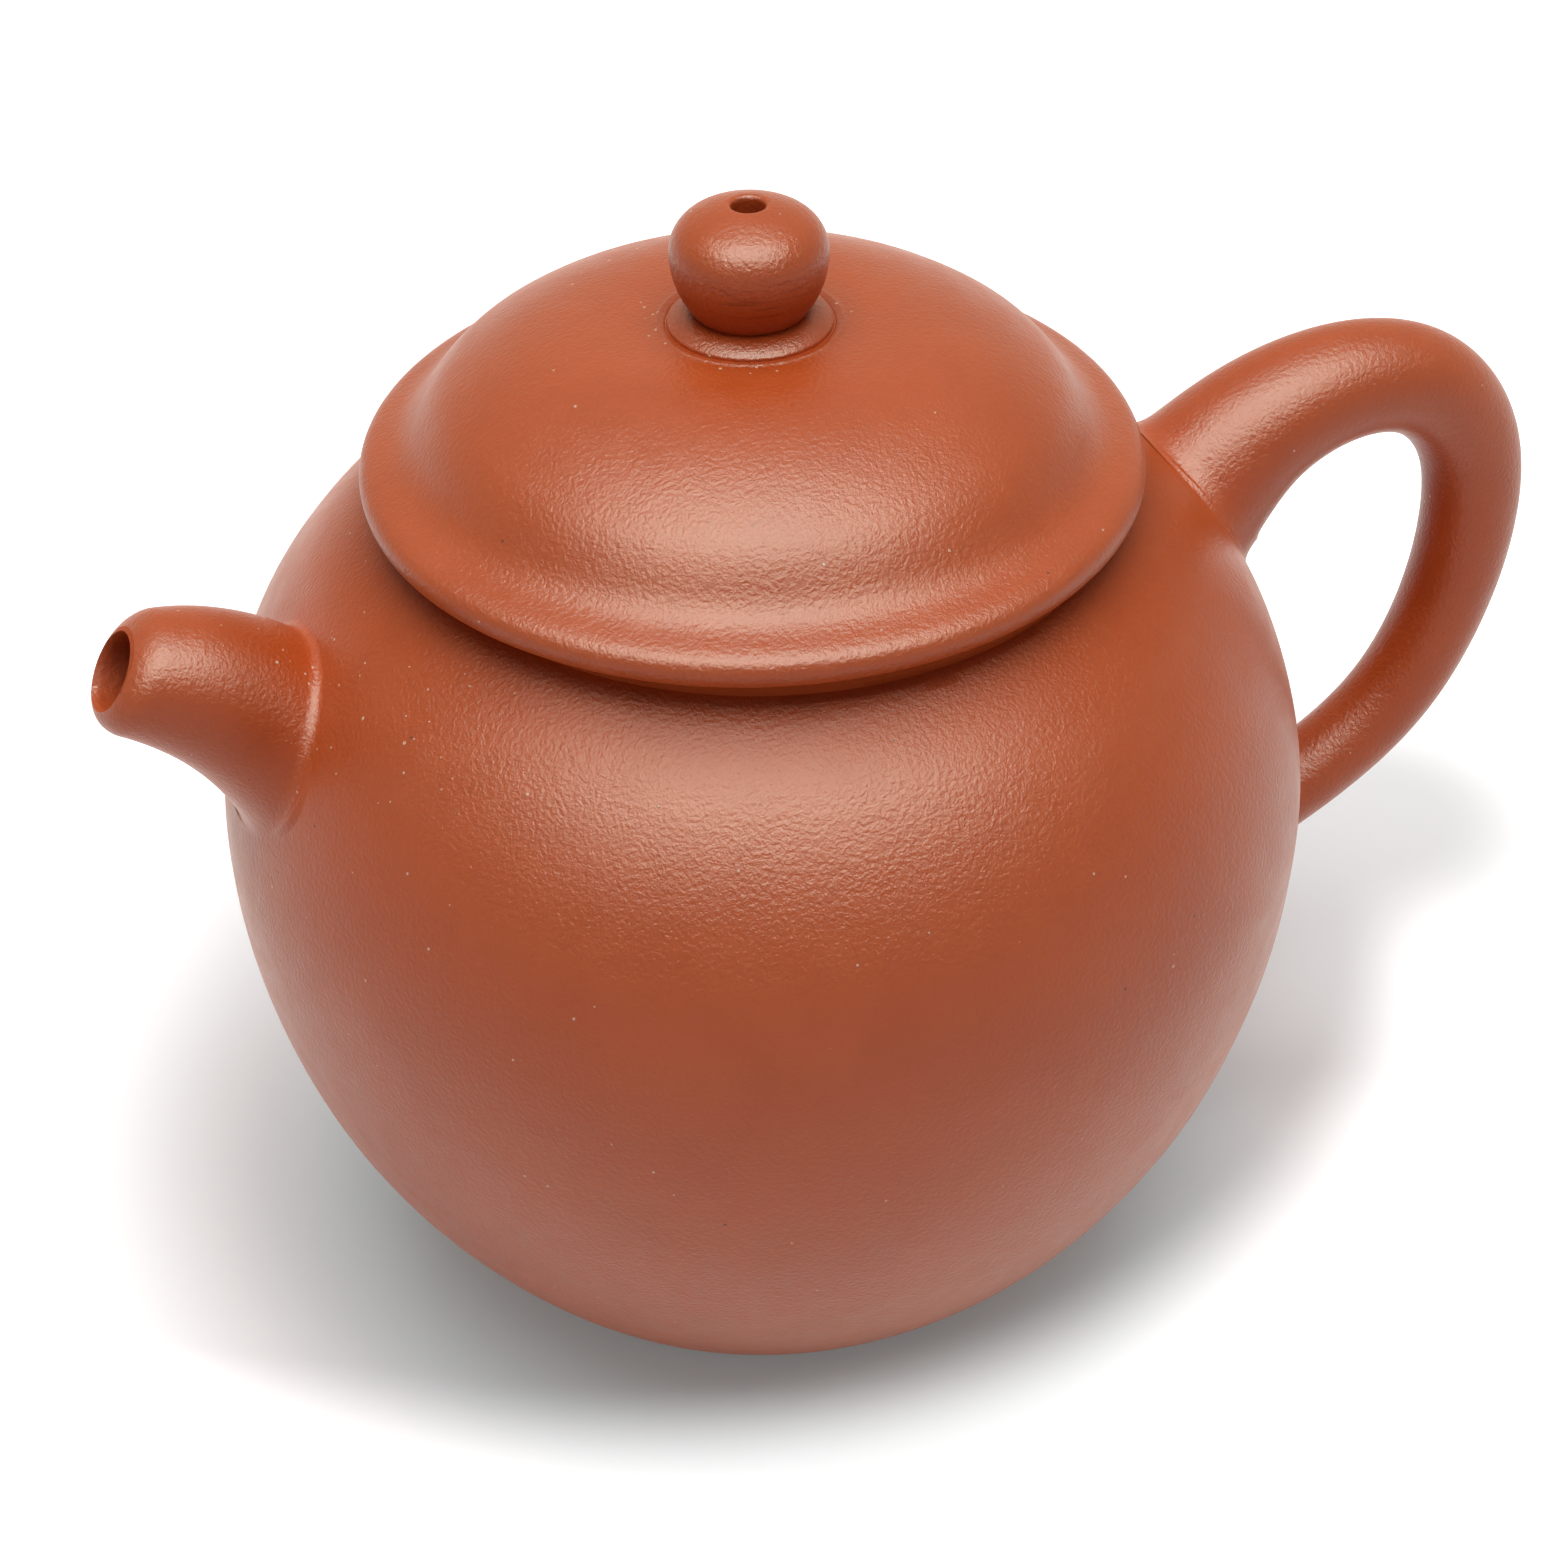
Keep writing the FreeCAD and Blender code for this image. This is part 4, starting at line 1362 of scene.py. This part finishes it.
@dataclass
class Studio:
    """White table and surround, the soft light over them and the camera."""

    camera_place: Place = (-62.1, -170.62, 176.91)
    camera_turn: Triple = (52.703, 0.557, -20.834)
    focal_pixels: float = 3000.0
    sensor: float = 36.0
    clip: Pair = (10.0, 20000.0)
    box_widths: Pair = (1450.0, 940.0)
    box_depths: Pair = (940.0, 940.0)
    box_places: tuple[Place, Place] = ((-127.0, -365.0, 920.0), (-15.0, -40.0, 970.0))
    box_powers: Pair = (44.5, 9.3)
    aim_height: float = 45.0
    gleam_colour: Colour = (0.7, 1.0, 0.9)
    surround: float = 0.16
    surround_gloss: Colour = (0.8, 0.85, 0.71)
    table_half: float = 3000.0
    table_gloss: Colour = (1.0, 1.0, 0.88)
    table_white: Colour = (0.8, 0.8, 0.8)
    # Cyan tint of the table near the pot, seen directly, a painted counter to the pot's red bounce light.
    table_bounce_cancel: Colour = (0.58, 0.8, 0.84)
    bounce_cancel_reach: Pair = (24.0, 48.0)
    # Glow of the table near and far from the pot; where it is held back, round the pot and at the handle's
    # shadow, it paints a shadow.
    table_lift: Pair = (0.12, 0.68)
    shadow_middles: tuple[Place, Place] = ((3.0, 40.0, 0.0), (12.0, 8.0, 0.0))
    shadow_reaches: tuple[Pair, Pair] = ((64.0, 75.0), (50.0, 80.0))
    handle_shadow: Place = (70.0, 21.0, 0.0)
    handle_reach: Pair = (6.0, 23.0)
    far_reach: Pair = (150.0, 700.0)

    def build(self) -> None:
        """Set up the table, the lights and the camera."""
        bpy.context.scene.view_settings.view_transform = "Standard"
        self.set_camera()
        self.set_table()
        self.set_light()
        self.set_surround()

    def set_camera(self) -> None:
        """Stand the camera where the photograph was taken from."""
        data = bpy.data.cameras.new("camera")
        data.sensor_width = self.sensor
        data.lens = self.focal_pixels * self.sensor / PHOTO_PIXELS
        data.clip_start, data.clip_end = (limit * MM for limit in self.clip)
        camera = placed("camera", data)
        camera.location = Vector(self.camera_place) * MM
        camera.rotation_euler = Euler([math.radians(turn) for turn in self.camera_turn], "XYZ")
        bpy.context.scene.camera = camera

    def set_table(self) -> None:
        """Lay the white table: it keeps the pot's cast shadow, its glow paints a shadow round the pot and the
        handle, and a cyan tint near the pot cancels the pot's red bounce light; away from the pot it is
        white.
        """
        mesh = bpy.data.meshes.new("table")
        half = self.table_half * MM
        corners = [(-half, -half, 0), (half, -half, 0), (half, half, 0), (-half, half, 0)]
        mesh.from_pydata(corners, [], [(0, 1, 2, 3)])
        table = placed("table", mesh)
        paper, graph = new_material("white_table")
        seen = self.seen_directly(graph)
        # Near the pot the table is tinted cyan where it is seen directly, a painted counter to the pot's red
        # bounce light.
        close = graph.math("SUBTRACT", 1.0, self.beyond(graph, (0, 0, 0), self.bounce_cancel_reach))
        tint = graph.mix(graph.math("MULTIPLY", seen, close), (*self.table_white, 1), (*self.table_bounce_cancel, 1))
        matt = graph.add("BsdfDiffuse", {"Color": tint})
        # The glow is held back near the pot and round the handle's shadow, so the floor there is darker:
        # painted shadow on top of the cast one.
        front, sides = (self.beyond(graph, *row) for row in zip(self.shadow_middles, self.shadow_reaches))
        bare = graph.math("MULTIPLY", graph.math("MAXIMUM", front, sides),
                          self.beyond(graph, self.handle_shadow, self.handle_reach))
        near, far = self.table_lift
        white = graph.math("MAXIMUM", graph.math("MULTIPLY_ADD", bare, far - near, near),
                           self.beyond(graph, (0, 0, 0), self.far_reach))
        glow = graph.math("MULTIPLY", white, seen)
        lift = graph.add("Emission", {"Color": self.seen_colour(graph, self.table_gloss), "Strength": glow})
        both = graph.add("AddShader", {0: matt.outputs[0], 1: lift.outputs[0]})
        graph.add("OutputMaterial", {"Surface": both.outputs[0]})
        mesh.materials.append(paper)

    @staticmethod
    def beyond(graph: Graph, middle: Place, reach: Pair) -> bpy.types.NodeSocket:
        """Add a mask that rises from 0 to 1 with the distance from a place on the table.

        Args:
            graph: Tree to add it to.
            middle: Place in millimetres.
            reach: Distances at which the mask starts and ends to rise.

        Returns:
            Mask socket.
        """
        place = graph.add("TexCoord").outputs["Object"]
        centre = [side * MM for side in middle]
        away = graph.add("VectorMath", {0: place, 1: centre}, operation="DISTANCE").outputs["Value"]
        return graph.band(away, *(limit * MM for limit in reach))

    @staticmethod
    def seen_directly(graph: Graph) -> bpy.types.NodeSocket:
        """Add a mask of what the camera sees directly, in a gloss or through glass, and return it."""
        path = graph.add("LightPath")
        rays = [path.outputs[name] for name in ("Is Camera Ray", "Is Glossy Ray", "Is Transmission Ray")]
        return graph.math("MAXIMUM", graph.math("MAXIMUM", rays[0], rays[1]), rays[2])

    @staticmethod
    def seen_colour(graph: Graph, gloss: Colour) -> bpy.types.NodeSocket:
        """Add white that takes another colour where a gloss shows it, and return it."""
        return graph.mix(graph.add("LightPath").outputs["Is Glossy Ray"], (1, 1, 1, 1), (*gloss, 1))

    def set_light(self) -> None:
        """Hang two soft boxes above the pot: one that gleams on it and one that lights it."""
        names = ("gleam_box", "fill_box")
        rows = zip(names, self.box_widths, self.box_depths, self.box_places, self.box_powers)
        for name, width, depth, place, power in rows:
            data = bpy.data.lights.new(name, "AREA")
            data.shape = "RECTANGLE"
            data.size, data.size_y = width * MM, depth * MM
            data.energy = power
            data.color = self.gleam_colour if name == "gleam_box" else (1, 1, 1)
            lamp = placed(name, data)
            lamp.location = Vector(place) * MM
            aim = Vector((0, 0, self.aim_height * MM)) - lamp.location
            lamp.rotation_euler = aim.to_track_quat("-Z", "Y").to_euler()
            lamp.visible_diffuse = name == "fill_box"
            lamp.visible_glossy = name == "gleam_box"

    def set_surround(self) -> None:
        """Surround the table with plain white."""
        world = bpy.data.worlds.new("surround")
        world.use_nodes = True
        bpy.context.scene.world = world
        graph = Graph(world.node_tree)
        seen = self.seen_directly(graph)
        strength = graph.math("MULTIPLY_ADD", seen, 1.0 - self.surround, self.surround)
        colour = self.seen_colour(graph, self.surround_gloss)
        sky = graph.add("Background", {"Color": colour, "Strength": strength})
        graph.add("OutputWorld", {"Surface": sky.outputs[0]})


def main() -> None:
    """Build the studio, the pot and the lid, and report each piece."""
    logging.basicConfig(level=logging.INFO, format="%(message)s")
    Studio().build()
    dressing = Dressing()
    Pot(dressing).build()
    Lid(dressing).build()


if __name__ == "__main__":
    main()
